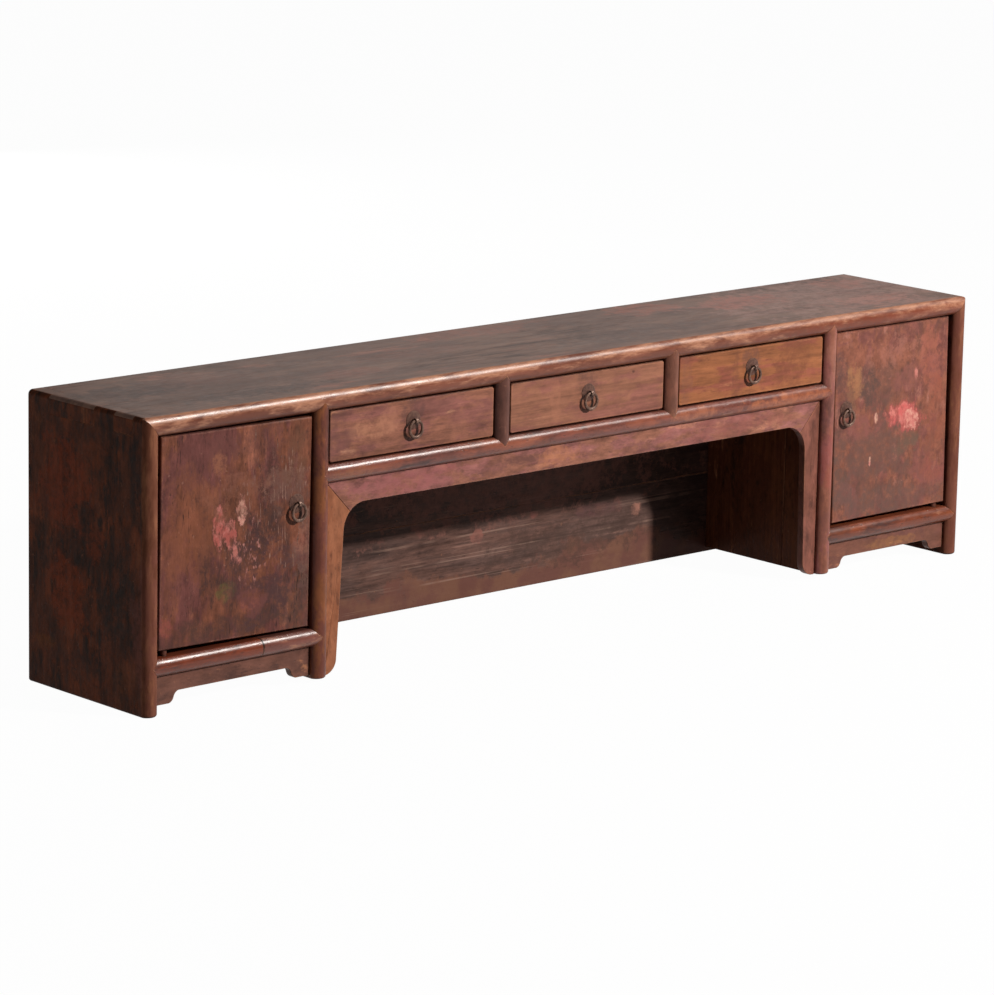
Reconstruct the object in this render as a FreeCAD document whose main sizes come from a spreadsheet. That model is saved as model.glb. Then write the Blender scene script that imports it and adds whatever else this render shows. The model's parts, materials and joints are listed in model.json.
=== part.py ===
import FreeCAD, Part
import math
import operator
import os
from collections import namedtuple
from types import SimpleNamespace

import Sketcher

# Low cabinet with two cupboards, three drawers and an open knee space between them.
# Millimetres. +X is to the right, -Y to the front, +Z up.
# The origin is on the floor, under the middle of the carcass.

SIZES = {
    # The whole carcass
    "overall_width": 1600,
    "overall_depth": 259,
    "overall_height": 406,
    "left_post_reach": 494.5,
    "right_post_reach": 502,
    "drawer_opening_height": 76.1,
    "base_rail_underside": 53,
    "left_foot_gap": 6.5,
    "right_foot_gap": 9.5,
    # Boards and bars of the frame
    "top_thickness": 26.5,
    "end_thickness": 25,
    "post_width": 26,
    "bar_depth": 30,
    "rail_height": 24.8,
    "divider_width": 27,
    # The rounded front edges, and the layer in which bars meet as pointed mitres
    "round_depth": 9,
    "face_layer": 12,
    "cutter_margin": 2,
    # Mitred finger joints between the top board and the end boards
    "corner_mitre_depth": 12,
    "front_pin_end": 30,
    "middle_pin_start": 70,
    "middle_pin_end": 114,
    "back_pin_width": 46,
    "corner_radius": 7,
    # Tenons
    "tenon_setback": 16,
    "tenon_thickness": 8,
    "tenon_length": 11,
    "tenon_shoulder": 4,
    "joint_clearance": 0.15,
    # Aprons round the knee space
    "apron_recess": 12,
    "apron_thickness": 12,
    "apron_height": 35,
    "left_apron_leg_top_width": 33,
    "left_apron_leg_bottom_width": 22.5,
    "right_apron_leg_top_width": 30,
    "right_apron_leg_bottom_width": 26,
    "apron_corner_radius": 38,
    "apron_foot_radius": 22,
    # Aprons under the cupboards
    "base_foot_clearance": 12,
    "base_foot_length": 24,
    "scallop_step": 8,
    "scallop_radius": 11,
    "splice_length": 90,
    "splice_gap": 0.5,
    # Inner boards
    "partition_thickness": 14,
    "partition_seam": 81.5,
    "seam_chamfer": 1.2,
    "tongue_length": 6,
    "tongue_thickness": 6,
    "housing_depth": 5,
    "floor_thickness": 10,
    "floor_drop": 4,
    "deck_thickness": 10,
    "guide_height": 16,
    "back_thickness": 13,
    "back_rebate": 10,
    "back_floor_gap": 2,
    "back_tongue": 5,
    # Doors
    "door_thickness": 18,
    "door_recess": 9,
    "door_hinge_gap": 3,
    "door_free_gap": 1.5,
    "door_edge_radius": 2.5,
    "left_door_hinge_top_gap": 2.2,
    "left_door_free_top_gap": 5.2,
    "left_door_hinge_bottom_gap": 9.5,
    "left_door_free_bottom_gap": 4.5,
    "left_door_lean": 4,
    "right_door_hinge_top_gap": 2,
    "right_door_free_top_gap": 1.8,
    "right_door_hinge_bottom_gap": 7.5,
    "right_door_free_bottom_gap": 6.3,
    "right_door_lean": 5,
    "pivot_diameter": 9,
    "pivot_inset": 15,
    "pivot_depth": 25,
    "pivot_socket_depth": 12,
    "pivot_fit": 0.05,
    "pivot_play": 0.25,
    "pivot_end_play": 0.3,
    "batten_inset": 36,
    "batten_height": 30,
    "batten_end_gap": 26,
    "batten_free_inset": 7,
    "batten_proud": 10,
    "batten_housing": 5,
    "batten_flare": 2,
    # Drawers
    "drawer_gap": 2.4,
    "drawer_recess": 8,
    "drawer_front_thickness": 16,
    "drawer_corner_radius": 4,
    "drawer_edge_radius": 2,
    "drawer_side_thickness": 10,
    "drawer_side_inset": 0.5,
    "drawer_lap": 9,
    "drawer_side_drop": 8,
    "drawer_back_thickness": 10,
    "drawer_bottom_thickness": 6,
    "drawer_bottom_rise": 5,
    "drawer_groove": 5,
    "drawer_runner_play": 0.3,
    "drawer_back_gap": 1.5,
    # Ring pulls
    "plate_diameter": 26,
    "plate_rim": 0.8,
    "plate_dome": 2.4,
    "eye_width": 4.4,
    "eye_wall": 1.3,
    "eye_seat_gap": 0.2,
    "shank_diameter": 3.6,
    "shank_play": 0.1,
    "clench_length": 9,
    "clench_width": 3,
    "clench_thickness": 1.2,
    "ring_radius": 11.6,
    "ring_wire": 3.8,
    "ring_play": 0.5,
    "drawer_pull_rise": 6,
    "door_pull_reach": 27,
    "door_pull_height": 257.5,
}

COS_45 = math.sqrt(0.5)
TOLERANCE = 1e-6
GROUND = 0
LEFT, RIGHT = -1, 1
SIDE_NAMES = {LEFT: "left", RIGHT: "right"}
DRAWER_NAMES = {LEFT: "left_drawer", 0: "center_drawer", RIGHT: "right_drawer"}

document = FreeCAD.newDocument("low_cabinet")
sheet = document.addObject("Spreadsheet::Sheet", "Sizes")
for row, (alias, number) in enumerate(SIZES.items(), 1):
    sheet.set(f"A{row}", alias)
    sheet.set(f"B{row}", str(number))
    sheet.setAlias(f"B{row}", alias)
document.recompute()


# Sizes that carry their formula

OPERATIONS = {"+": operator.add, "-": operator.sub, "*": operator.mul, "/": operator.truediv}


class Size:
    """A number with the spreadsheet formula that gives it."""

    def __init__(self, value, formula):
        self.value = value
        self.formula = formula

    def __add__(self, other):
        return combine(self, "+", other)

    def __radd__(self, other):
        return combine(other, "+", self)

    def __sub__(self, other):
        return combine(self, "-", other)

    def __rsub__(self, other):
        return combine(other, "-", self)

    def __mul__(self, other):
        return combine(self, "*", other)

    def __rmul__(self, other):
        return combine(other, "*", self)

    def __truediv__(self, other):
        return combine(self, "/", other)

    def __neg__(self):
        return combine(0, "-", self)


def sized(number):
    return number if isinstance(number, Size) else Size(number, repr(number))


def combine(left, sign, right):
    left, right = sized(left), sized(right)
    value = OPERATIONS[sign](left.value, right.value)
    return Size(value, f"({left.formula} {sign} {right.formula})")


size = SimpleNamespace(**{name: Size(number, f"Sizes.{name}") for name, number in SIZES.items()})


def bind(item, name, number):
    item.setExpression(name, sized(number).formula)


# Sketched features

Arc = namedtuple("Arc", "end radius bulge")
Circle = namedtuple("Circle", "centre radius")

# Each plane's sign says whether its sketches look along (+1) or against (-1) the axis they move on.
PLANE_SIGN = {"XY_Plane": 1, "XZ_Plane": -1, "YZ_Plane": 1}
ORIGIN_POINT = (-1, 1)
cuts = []
pieces = {}


def arc_middle(start, end, radius, bulge):
    """The middle of the short arc from start to end that swells towards bulge."""
    chord = end - start
    normal = FreeCAD.Vector(-chord.y, chord.x, 0).normalize()
    if normal.x * bulge[0] + normal.y * bulge[1] < 0:
        normal = -normal
    half = chord.Length / 2
    rise = radius - math.sqrt(max(radius * radius - half * half, 0))
    return start + chord / 2 + normal * rise


def fix_point(sketch, geometry, point, position):
    """Tie a sketch point to the origin by its two coordinates."""
    for kind, number in zip(("DistanceX", "DistanceY"), position):
        number = sized(number)
        rule = Sketcher.Constraint(kind, *ORIGIN_POINT, geometry, point, number.value)
        bind(sketch, f"Constraints[{sketch.addConstraint(rule)}]", number)


def fix_radius(sketch, geometry, radius):
    rule = Sketcher.Constraint("Radius", geometry, radius.value)
    bind(sketch, f"Constraints[{sketch.addConstraint(rule)}]", radius)


def draw_circle(sketch, circle):
    centre = FreeCAD.Vector(sized(circle.centre[0]).value, sized(circle.centre[1]).value, 0)
    geometry = sketch.addGeometry(Part.Circle(centre, FreeCAD.Vector(0, 0, 1), circle.radius.value))
    fix_point(sketch, geometry, 3, circle.centre)
    fix_radius(sketch, geometry, circle.radius)


def draw_outline(sketch, outline):
    """A closed outline of corners. An Arc in the list is the rounded way to its end."""
    corners = [step.end if isinstance(step, Arc) else step for step in outline]
    points = [FreeCAD.Vector(sized(u).value, sized(v).value, 0) for u, v in corners]
    geometries, starts, ends = [], [], []
    for index, start in enumerate(points):
        following = (index + 1) % len(points)
        step = outline[following]
        if isinstance(step, Arc):
            middle = arc_middle(start, points[following], step.radius.value, step.bulge)
            edge = Part.Arc(start, middle, points[following])
        else:
            edge = Part.LineSegment(start, points[following])
        geometry = sketch.addGeometry(edge)
        runs_forward = sketch.getPoint(geometry, 1).distanceToPoint(start) < TOLERANCE
        geometries.append(geometry)
        starts.append(1 if runs_forward else 2)
        ends.append(2 if runs_forward else 1)
    sketch.addConstraint([
        Sketcher.Constraint("Coincident", geometries[index - 1], ends[index - 1],
                            geometries[index], starts[index])
        for index in range(len(points))
    ])
    for index, corner in enumerate(corners):
        fix_point(sketch, geometries[index], starts[index], corner)
        step = outline[(index + 1) % len(outline)]
        if isinstance(step, Arc):
            fix_radius(sketch, geometries[index], step.radius)


def new_sketch(body, name, plane, level, outlines):
    """A sketch on one of the body's own planes, moved to a level on that plane's axis."""
    sketch = body.newObject("Sketcher::SketchObject", f"{body.Name}_{name}_sketch")
    support = next(item for item in body.Origin.OriginFeatures if item.Role == plane)
    sketch.AttachmentSupport = (support, [""])
    sketch.MapMode = "FlatFace"
    bind(sketch, "AttachmentOffset.Base.z", PLANE_SIGN[plane] * level)
    for outline in outlines:
        if isinstance(outline, Circle):
            draw_circle(sketch, outline)
        else:
            draw_outline(sketch, outline)
    return sketch


def pad(body, name, plane, start, end, *outlines):
    """Add the outlines' solid between two levels of the plane's axis."""
    sketch = new_sketch(body, name, plane, start, outlines)
    feature = body.newObject("PartDesign::Pad", f"{body.Name}_{name}")
    feature.Profile = sketch
    feature.Reversed = PLANE_SIGN[plane] < 0
    bind(feature, "Length", end - start)
    return feature


def cut(body, name, plane, start, end, *outlines):
    """Take the outlines' solid away between two levels of the plane's axis."""
    sketch = new_sketch(body, name, plane, start, outlines)
    feature = body.newObject("PartDesign::Pocket", f"{body.Name}_{name}")
    feature.Profile = sketch
    feature.Reversed = PLANE_SIGN[plane] > 0
    bind(feature, "Length", end - start)
    cuts.append(feature)
    return feature


def soften(body, name, feature, radius):
    """Round the edges of the feature's front face."""
    document.recompute()
    shape = feature.Shape
    foremost = shape.BoundBox.YMin + TOLERANCE
    edges = [f"Edge{number}" for number, edge in enumerate(shape.Edges, 1)
             if edge.BoundBox.YMax < foremost]
    fillet = body.newObject("PartDesign::Fillet", f"{body.Name}_{name}")
    fillet.Base = (feature, edges)
    bind(fillet, "Radius", radius)


def new_body(label):
    return document.addObject("PartDesign::Body", label)


def new_piece(label):
    """The body of a piece that is one solid."""
    pieces[label] = new_body(label)
    return pieces[label]


def new_pair(label, solids):
    """A piece made of two separate solids."""
    pair = document.addObject("Part::Compound", label)
    pair.Links = solids
    pieces[label] = pair


def place(item, x, y, z):
    for axis, number in zip("xyz", (x, y, z)):
        bind(item, f"Placement.Base.{axis}", number)


def rectangle(u0, v0, u1, v1):
    return [(u0, v0), (u1, v0), (u1, v1), (u0, v1)]


def grown(low_u, low_v, high_u, high_v):
    """A mortise outline round a tenon given by its lowest and highest corner."""
    play = size.joint_clearance
    return rectangle(low_u - play, low_v - play, high_u + play, high_v + play)


def swell_radius(half_chord, depth):
    """Radius of an arc that rises by depth over a chord."""
    return (half_chord * half_chord + depth * depth) / (2 * depth)


# Shared levels and planes

half_width = size.overall_width / 2
front = -size.overall_depth / 2
back = size.overall_depth / 2
shoulder = front + size.round_depth
layer_back = front + size.face_layer
bar_back = front + size.bar_depth
inner_back = back - size.back_thickness
tenon_front = front + size.tenon_setback
tenon_back = tenon_front + size.tenon_thickness

top_under = size.overall_height - size.top_thickness
top_middle = size.overall_height - size.top_thickness / 2
deck_top = top_under - size.drawer_opening_height
drawer_rail_under = deck_top - size.rail_height
drawer_rail_middle = deck_top - size.rail_height / 2
base_rail_top = size.base_rail_underside + size.rail_height
base_rail_middle = size.base_rail_underside + size.rail_height / 2
floor_top = base_rail_top - size.floor_drop

end_face = half_width - size.end_thickness
drawer_row = size.left_post_reach + size.right_post_reach - size.post_width
drawer_opening = (drawer_row - 2 * size.divider_width) / 3
drawer_pitch = drawer_opening + size.divider_width
drawer_middle = (size.right_post_reach - size.left_post_reach) / 2
divider_centre = {side: drawer_middle + side * drawer_pitch / 2 for side in SIDE_NAMES}

# How far each inner post, its two faces and the partition by it stand out from the middle
post_centre = {LEFT: size.left_post_reach, RIGHT: size.right_post_reach}
knee_face = {side: reach - size.post_width / 2 for side, reach in post_centre.items()}
cupboard_face = {side: reach + size.post_width / 2 for side, reach in post_centre.items()}
partition_face = {side: reach + size.partition_thickness for side, reach in knee_face.items()}

apron_front = front + size.apron_recess
apron_back = apron_front + size.apron_thickness
apron_under = drawer_rail_under - size.apron_height

hinge_edge = end_face - size.door_hinge_gap
free_edge = {side: reach + size.door_free_gap for side, reach in cupboard_face.items()}
pivot_x = hinge_edge - size.pivot_inset
door_front = front + size.door_recess
door_back = door_front + size.door_thickness
pivot_y = door_front + size.door_thickness / 2
pivot_radius = size.pivot_diameter / 2
socket_radius = pivot_radius + size.pivot_play

# The posts, partitions and apron legs by the knee space end a little above the floor
foot_level = {LEFT: size.left_foot_gap, RIGHT: size.right_foot_gap}


def span(a, b):
    """The two numbers, lowest first."""
    return (a, b) if sized(a).value < sized(b).value else (b, a)


# The tenons, each used by the bar that has it and by the piece that takes it

def rail_tenon(side, face, outward, under):
    """Corners of a rail's tenon in front view, going outward (+1) or inward (-1) from a face."""
    low_x, high_x = span(side * face, side * (face + outward * size.tenon_length))
    return low_x, under + size.tenon_shoulder, high_x, under + size.rail_height - size.tenon_shoulder


def upright_tenon(centre, width, level, upward):
    """Corners of an upright's tenon in front view, going up (+1) or down (-1) from a level."""
    low_z, high_z = span(level, level + upward * size.tenon_length)
    half = width / 2 - size.tenon_shoulder
    return centre - half, low_z, centre + half, high_z


def cut_mortise(body, name, tenon):
    play = size.joint_clearance
    cut(body, name, "XZ_Plane", tenon_front - play, tenon_back + play, grown(*tenon))


def add_tenon(body, name, tenon):
    pad(body, name, "XZ_Plane", tenon_front, tenon_back, rectangle(*tenon))


# Bars with a rounded front and pointed mitres in their front layer

def round_upright(body, centre, width):
    """Round the front of an upright, whose plan is an arc between its two shoulders."""
    left, right = centre - width / 2, centre + width / 2
    clear = front - size.cutter_margin
    radius = swell_radius(width / 2, size.round_depth)
    cut(body, "round", "XY_Plane", -size.cutter_margin, size.overall_height,
        [(left, clear), (right, clear), (right, shoulder), Arc((left, shoulder), radius, (0, -1))])


def round_rail(body, low_x, high_x, under, height):
    """Round the front of a rail, whose section is an arc between its two shoulders."""
    clear = front - size.cutter_margin
    radius = swell_radius(height / 2, size.round_depth)
    cut(body, "round", "YZ_Plane", low_x - size.cutter_margin, high_x + size.cutter_margin,
        [(clear, under), (clear, under + height), (shoulder, under + height),
         Arc((shoulder, under), radius, (-1, 0))])


def cut_side_notch(body, name, face, centre, under):
    """The notch in an upright's front layer that takes a rail's point."""
    cut(body, name, "XZ_Plane", front - size.cutter_margin, layer_back,
        [(face, under), (centre, under + size.rail_height / 2), (face, under + size.rail_height)])


def cut_upright_notches(body, name, level, tip, uprights):
    """The notches in a horizontal front edge that take the points of uprights."""
    outlines = [[(x - width / 2, level), (x, tip), (x + width / 2, level)] for x, width in uprights]
    cut(body, name, "XZ_Plane", front - size.cutter_margin, layer_back, *outlines)


def make_inner_post(side):
    """The full-height post between a cupboard and the knee space."""
    body = new_piece(f"{SIDE_NAMES[side]}_inner_post")
    centre = side * post_centre[side]
    left, right = centre - size.post_width / 2, centre + size.post_width / 2
    foot = foot_level[side]
    pad(body, "face", "XZ_Plane", front, layer_back,
        [(left, foot), (right, foot), (right, top_under), (centre, top_middle), (left, top_under)])
    pad(body, "core", "XZ_Plane", layer_back, bar_back, rectangle(left, foot, right, top_under))
    add_tenon(body, "tenon", upright_tenon(centre, size.post_width, top_under, 1))
    round_upright(body, centre, size.post_width)
    cut_side_notch(body, "drawer_rail_notch", side * knee_face[side], centre, drawer_rail_under)
    cut_side_notch(body, "base_rail_notch", side * cupboard_face[side], centre, size.base_rail_underside)
    cut_mortise(body, "drawer_rail_mortise", rail_tenon(side, knee_face[side], 1, drawer_rail_under))
    cut_mortise(body, "base_rail_mortise", rail_tenon(side, cupboard_face[side], -1, size.base_rail_underside))
    play = size.joint_clearance
    near, far = tongue_faces(side)
    cut(body, "partition_groove", "XY_Plane", GROUND, top_under,
        rectangle(near - play, bar_back - size.tongue_length - play, far + play, bar_back))


def make_divider(side):
    """The short upright between two drawers."""
    body = new_piece(f"{SIDE_NAMES[side]}_drawer_divider")
    centre = divider_centre[side]
    left, right = centre - size.divider_width / 2, centre + size.divider_width / 2
    pad(body, "face", "XZ_Plane", front, layer_back,
        [(left, deck_top), (centre, drawer_rail_middle), (right, deck_top),
         (right, top_under), (centre, top_middle), (left, top_under)])
    pad(body, "core", "XZ_Plane", layer_back, bar_back, rectangle(left, deck_top, right, top_under))
    add_tenon(body, "upper_tenon", upright_tenon(centre, size.divider_width, top_under, 1))
    add_tenon(body, "lower_tenon", upright_tenon(centre, size.divider_width, deck_top, -1))
    round_upright(body, centre, size.divider_width)


def make_drawer_rail():
    """The rail under the drawers, from one inner post to the other."""
    body = new_piece("drawer_rail")
    left, right = -knee_face[LEFT], knee_face[RIGHT]
    left_tip, right_tip = -post_centre[LEFT], post_centre[RIGHT]
    pad(body, "face", "XZ_Plane", front, layer_back,
        [(left, drawer_rail_under), (right, drawer_rail_under), (right_tip, drawer_rail_middle),
         (right, deck_top), (left, deck_top), (left_tip, drawer_rail_middle)])
    pad(body, "core", "XZ_Plane", layer_back, bar_back, rectangle(left, drawer_rail_under, right, deck_top))
    for side, name in SIDE_NAMES.items():
        add_tenon(body, f"{name}_tenon", rail_tenon(side, knee_face[side], 1, drawer_rail_under))
    round_rail(body, left_tip, right_tip, drawer_rail_under, size.rail_height)
    dividers = [(centre, size.divider_width) for centre in divider_centre.values()]
    cut_upright_notches(body, "divider_notches", deck_top, drawer_rail_middle, dividers)
    for side, name in SIDE_NAMES.items():
        tenon = upright_tenon(divider_centre[side], size.divider_width, deck_top, -1)
        cut_mortise(body, f"{name}_divider_mortise", tenon)


def start_base_rail(label, side, outer, inner, outer_tip, inner_tip):
    """A base rail between two places, with a point past each end that has a tip."""
    body = new_piece(label)
    under, middle, above = size.base_rail_underside, base_rail_middle, base_rail_top
    outline = [(side * outer, under)]
    if outer_tip:
        outline.append((side * outer_tip, middle))
    outline += [(side * outer, above), (side * inner, above)]
    if inner_tip:
        outline.append((side * inner_tip, middle))
    outline.append((side * inner, under))
    pad(body, "face", "XZ_Plane", front, layer_back, outline)
    low_x, high_x = span(side * outer, side * inner)
    pad(body, "core", "XZ_Plane", layer_back, bar_back, rectangle(low_x, under, high_x, above))
    if outer_tip:
        add_tenon(body, "end_tenon", rail_tenon(side, end_face, 1, under))
    if inner_tip:
        add_tenon(body, "post_tenon", rail_tenon(side, cupboard_face[side], -1, under))
    far_low, far_high = span(side * half_width, side * post_centre[side])
    round_rail(body, far_low, far_high, under, size.rail_height)
    return body


def cut_pivot_socket(body, side, bottom, top):
    cut(body, f"{SIDE_NAMES[side]}_pivot_socket", "XY_Plane", bottom, top,
        Circle((side * pivot_x, pivot_y), socket_radius))


def make_base_rails():
    """The rail under each door. The left one is a repair in two lengths."""
    end_tip = half_width - size.end_thickness / 2
    splice = cupboard_face[LEFT] + size.splice_length
    left = start_base_rail("left_base_rail", LEFT, end_face, splice + size.splice_gap, end_tip, None)
    start_base_rail("left_base_rail_splice", LEFT, splice, cupboard_face[LEFT], None, post_centre[LEFT])
    right = start_base_rail("right_base_rail", RIGHT, end_face, cupboard_face[RIGHT],
                            end_tip, post_centre[RIGHT])
    for side, body in ((LEFT, left), (RIGHT, right)):
        cut_pivot_socket(body, side, base_rail_top - size.pivot_socket_depth, base_rail_top)


# The top and end boards with their mitred finger joints

def top_fingers():
    """Depths between which the top board's fingers run through the end boards."""
    return ((front + size.front_pin_end, front + size.middle_pin_start),
            (front + size.middle_pin_end, back - size.back_pin_width))


def end_pins():
    """Depths between which the end boards' pins run through the top board."""
    return ((front + size.corner_mitre_depth, front + size.front_pin_end),
            (front + size.middle_pin_start, front + size.middle_pin_end),
            (back - size.back_pin_width, back))


def round_corner(body, side):
    """Round the long upper edge over an end board."""
    radius = size.corner_radius
    high = size.overall_height + size.cutter_margin
    wide = half_width + size.cutter_margin
    turn = half_width - radius
    fall = size.overall_height - radius
    cut(body, f"{SIDE_NAMES[side]}_corner", "XZ_Plane",
        front - size.cutter_margin, back + size.cutter_margin,
        [(side * wide, fall), (side * wide, high), (side * turn, high), (side * turn, size.overall_height),
         Arc((side * half_width, fall), radius, (side, 1))])


def make_top_board():
    body = new_piece("top_board")
    radius = swell_radius(size.top_thickness / 2, size.round_depth)
    pad(body, "board", "YZ_Plane", -half_width, half_width,
        [(back, top_under), (back, size.overall_height), (shoulder, size.overall_height),
         Arc((shoulder, top_under), radius, (-1, 0))])
    uprights = [(side * post_centre[side], size.post_width) for side in SIDE_NAMES]
    uprights += [(centre, size.divider_width) for centre in divider_centre.values()]
    cut_upright_notches(body, "upright_notches", top_under, top_middle, uprights)
    for index, (centre, width) in enumerate(uprights, 1):
        cut_mortise(body, f"mortise_{index}", upright_tenon(centre, width, top_under, 1))
    for side, name in SIDE_NAMES.items():
        inner, outer = side * end_face, side * half_width
        cut(body, f"{name}_mitre", "XZ_Plane", front - size.cutter_margin, front + size.corner_mitre_depth,
            [(inner, top_under), (outer, top_under), (outer, size.overall_height)])
        cut(body, f"{name}_pin_sockets", "XY_Plane", top_under, size.overall_height,
            *[rectangle(inner, near, outer, far) for near, far in end_pins()])
        round_corner(body, side)
        cut_pivot_socket(body, side, top_under, top_under + size.pivot_socket_depth)


def make_end_board(side):
    body = new_piece(f"{SIDE_NAMES[side]}_end_board")
    inner, outer = side * end_face, side * half_width
    middle = side * (half_width - size.end_thickness / 2)
    radius = swell_radius(size.end_thickness / 2, size.round_depth)
    pad(body, "board", "XY_Plane", GROUND, size.overall_height,
        [(outer, back), (inner, back), (inner, shoulder), Arc((outer, shoulder), radius, (0, -1))])
    cut(body, "mitre", "XZ_Plane", front - size.cutter_margin, front + size.corner_mitre_depth,
        [(inner, top_under), (outer, size.overall_height), (inner, size.overall_height)])
    low_x, high_x = span(inner, outer)
    cut(body, "finger_sockets", "YZ_Plane", low_x, high_x,
        *[rectangle(near, top_under, far, size.overall_height) for near, far in top_fingers()])
    round_corner(body, side)
    cut_side_notch(body, "base_rail_notch", inner, middle, size.base_rail_underside)
    cut_mortise(body, "base_rail_mortise", rail_tenon(side, end_face, 1, size.base_rail_underside))
    cut(body, "floor_housing", "YZ_Plane", *span(inner, side * (end_face + size.housing_depth)),
        floor_section(size.joint_clearance))
    rebate = side * (end_face + size.back_rebate)
    cut(body, "back_rebate", "XY_Plane", GROUND, top_under, rectangle(inner, inner_back, rebate, back))


# Aprons

def apron_corner(side):
    """Where the rounded inner corner of the aprons ends, and where their mitre meets it."""
    radius = size.apron_corner_radius
    leg_edge = knee_face[side] - getattr(size, f"{SIDE_NAMES[side]}_apron_leg_top_width")
    arc_end = leg_edge - radius
    mitre_x = arc_end + radius * COS_45
    mitre_z = apron_under - radius + radius * COS_45
    return side * leg_edge, side * arc_end, (side * mitre_x, mitre_z)


def make_center_apron():
    """The board over the knee space, mitred to the two apron legs."""
    body = new_piece("center_apron")
    radius = size.apron_corner_radius
    left_arc_end, left_mitre = apron_corner(LEFT)[1:]
    right_arc_end, right_mitre = apron_corner(RIGHT)[1:]
    pad(body, "board", "XZ_Plane", apron_front, apron_back,
        [(-knee_face[LEFT], drawer_rail_under), (knee_face[RIGHT], drawer_rail_under), right_mitre,
         Arc((right_arc_end, apron_under), radius, (RIGHT, 1)), (left_arc_end, apron_under),
         Arc(left_mitre, radius, (LEFT, 1))])


def make_apron_leg(side):
    """The upright apron beside the knee space, with a rounded foot."""
    label = f"{SIDE_NAMES[side]}_apron_leg"
    body = new_piece(label)
    corner, turn, foot = size.apron_corner_radius, size.apron_foot_radius, foot_level[side]
    leg_edge, _, mitre = apron_corner(side)
    low_edge = knee_face[side] - getattr(size, f"{label}_bottom_width")
    pad(body, "board", "XZ_Plane", apron_front, apron_back,
        [(side * knee_face[side], drawer_rail_under), mitre,
         Arc((leg_edge, apron_under - corner), corner, (side, 1)), (side * low_edge, foot + turn),
         Arc((side * (low_edge + turn), foot), turn, (-side, -1)), (side * knee_face[side], foot)])


def make_base_apron(side):
    """The board under a base rail, cut away between two feet with an ogee at each."""
    body = new_piece(f"{SIDE_NAMES[side]}_base_apron")
    step, turn, low = size.scallop_step, size.scallop_radius, size.base_foot_clearance
    outer = end_face - size.base_foot_length
    inner = cupboard_face[side] + size.base_foot_length
    pad(body, "board", "XZ_Plane", apron_front, apron_back,
        [(side * cupboard_face[side], size.base_rail_underside), (side * end_face, size.base_rail_underside),
         (side * end_face, low), (side * outer, low),
         Arc((side * (outer - step), low + step), turn, (-side, -1)),
         Arc((side * (outer - 2 * step), low + 2 * step), turn, (side, 1)),
         (side * (inner + 2 * step), low + 2 * step),
         Arc((side * (inner + step), low + step), turn, (-side, 1)),
         Arc((side * inner, low), turn, (side, -1)),
         (side * cupboard_face[side], low)])


# Inner boards

def tongue_faces(side):
    """The two faces of the tongue on a partition's front edge."""
    middle = (knee_face[side] + partition_face[side]) / 2
    return span(side * (middle - size.tongue_thickness / 2), side * (middle + size.tongue_thickness / 2))


def floor_section(play=0):
    """Section of a cupboard floor across the cabinet, with room above it for its housing."""
    return rectangle(bar_back, floor_top - size.floor_thickness, inner_back, floor_top + play)


def make_partition(side):
    """The wall between a cupboard and the knee space: two upright boards, edge to edge."""
    label = f"{SIDE_NAMES[side]}_partition"
    seam = front + size.partition_seam
    chamfer = size.seam_chamfer
    knee, cupboard = side * knee_face[side], side * partition_face[side]
    eased = side * (knee_face[side] + chamfer)
    near, far = tongue_faces(side)
    foot = foot_level[side]
    front_board = new_body(f"{label}_front_board")
    pad(front_board, "board", "XY_Plane", foot, top_under,
        [(knee, bar_back), (knee, seam - chamfer), (eased, seam), (cupboard, seam), (cupboard, bar_back)])
    pad(front_board, "tongue", "XY_Plane", foot, top_under,
        rectangle(near, bar_back - size.tongue_length, far, bar_back))
    back_board = new_body(f"{label}_back_board")
    pad(back_board, "board", "XY_Plane", foot, top_under,
        [(knee, seam + chamfer), (eased, seam), (cupboard, seam),
         (cupboard, inner_back), (knee, inner_back)])
    play = size.joint_clearance
    floor_range = span(cupboard, side * (partition_face[side] - size.housing_depth))
    deck_range = span(knee, side * (knee_face[side] + size.housing_depth))
    for board in (front_board, back_board):
        cut(board, "floor_housing", "YZ_Plane", *floor_range, floor_section(play))
        cut(board, "deck_housing", "YZ_Plane", *deck_range,
            rectangle(bar_back, deck_top - size.deck_thickness, inner_back, deck_top + play))
    new_pair(label, [front_board, back_board])


def make_floor(side):
    """The floor of a cupboard, housed in the end board and the partition."""
    body = new_piece(f"{SIDE_NAMES[side]}_cupboard_floor")
    play = size.joint_clearance
    reach = size.housing_depth - play
    pad(body, "board", "YZ_Plane", *span(side * (partition_face[side] - reach), side * (end_face + reach)),
        floor_section())


def make_deck():
    """The board that the drawers run on, with a guide behind each divider."""
    body = new_piece("drawer_deck")
    reach = size.housing_depth - size.joint_clearance
    pad(body, "board", "YZ_Plane", -knee_face[LEFT] - reach, knee_face[RIGHT] + reach,
        rectangle(bar_back, deck_top - size.deck_thickness, inner_back, deck_top))
    guides = []
    for side, name in SIDE_NAMES.items():
        guide = document.addObject("Part::Box", f"{name}_drawer_guide")
        bind(guide, "Length", size.divider_width)
        bind(guide, "Width", inner_back - bar_back)
        bind(guide, "Height", size.guide_height)
        place(guide, divider_centre[side] - size.divider_width / 2, bar_back, deck_top)
        guides.append(guide)
    new_pair("drawer_guides", guides)


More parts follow.
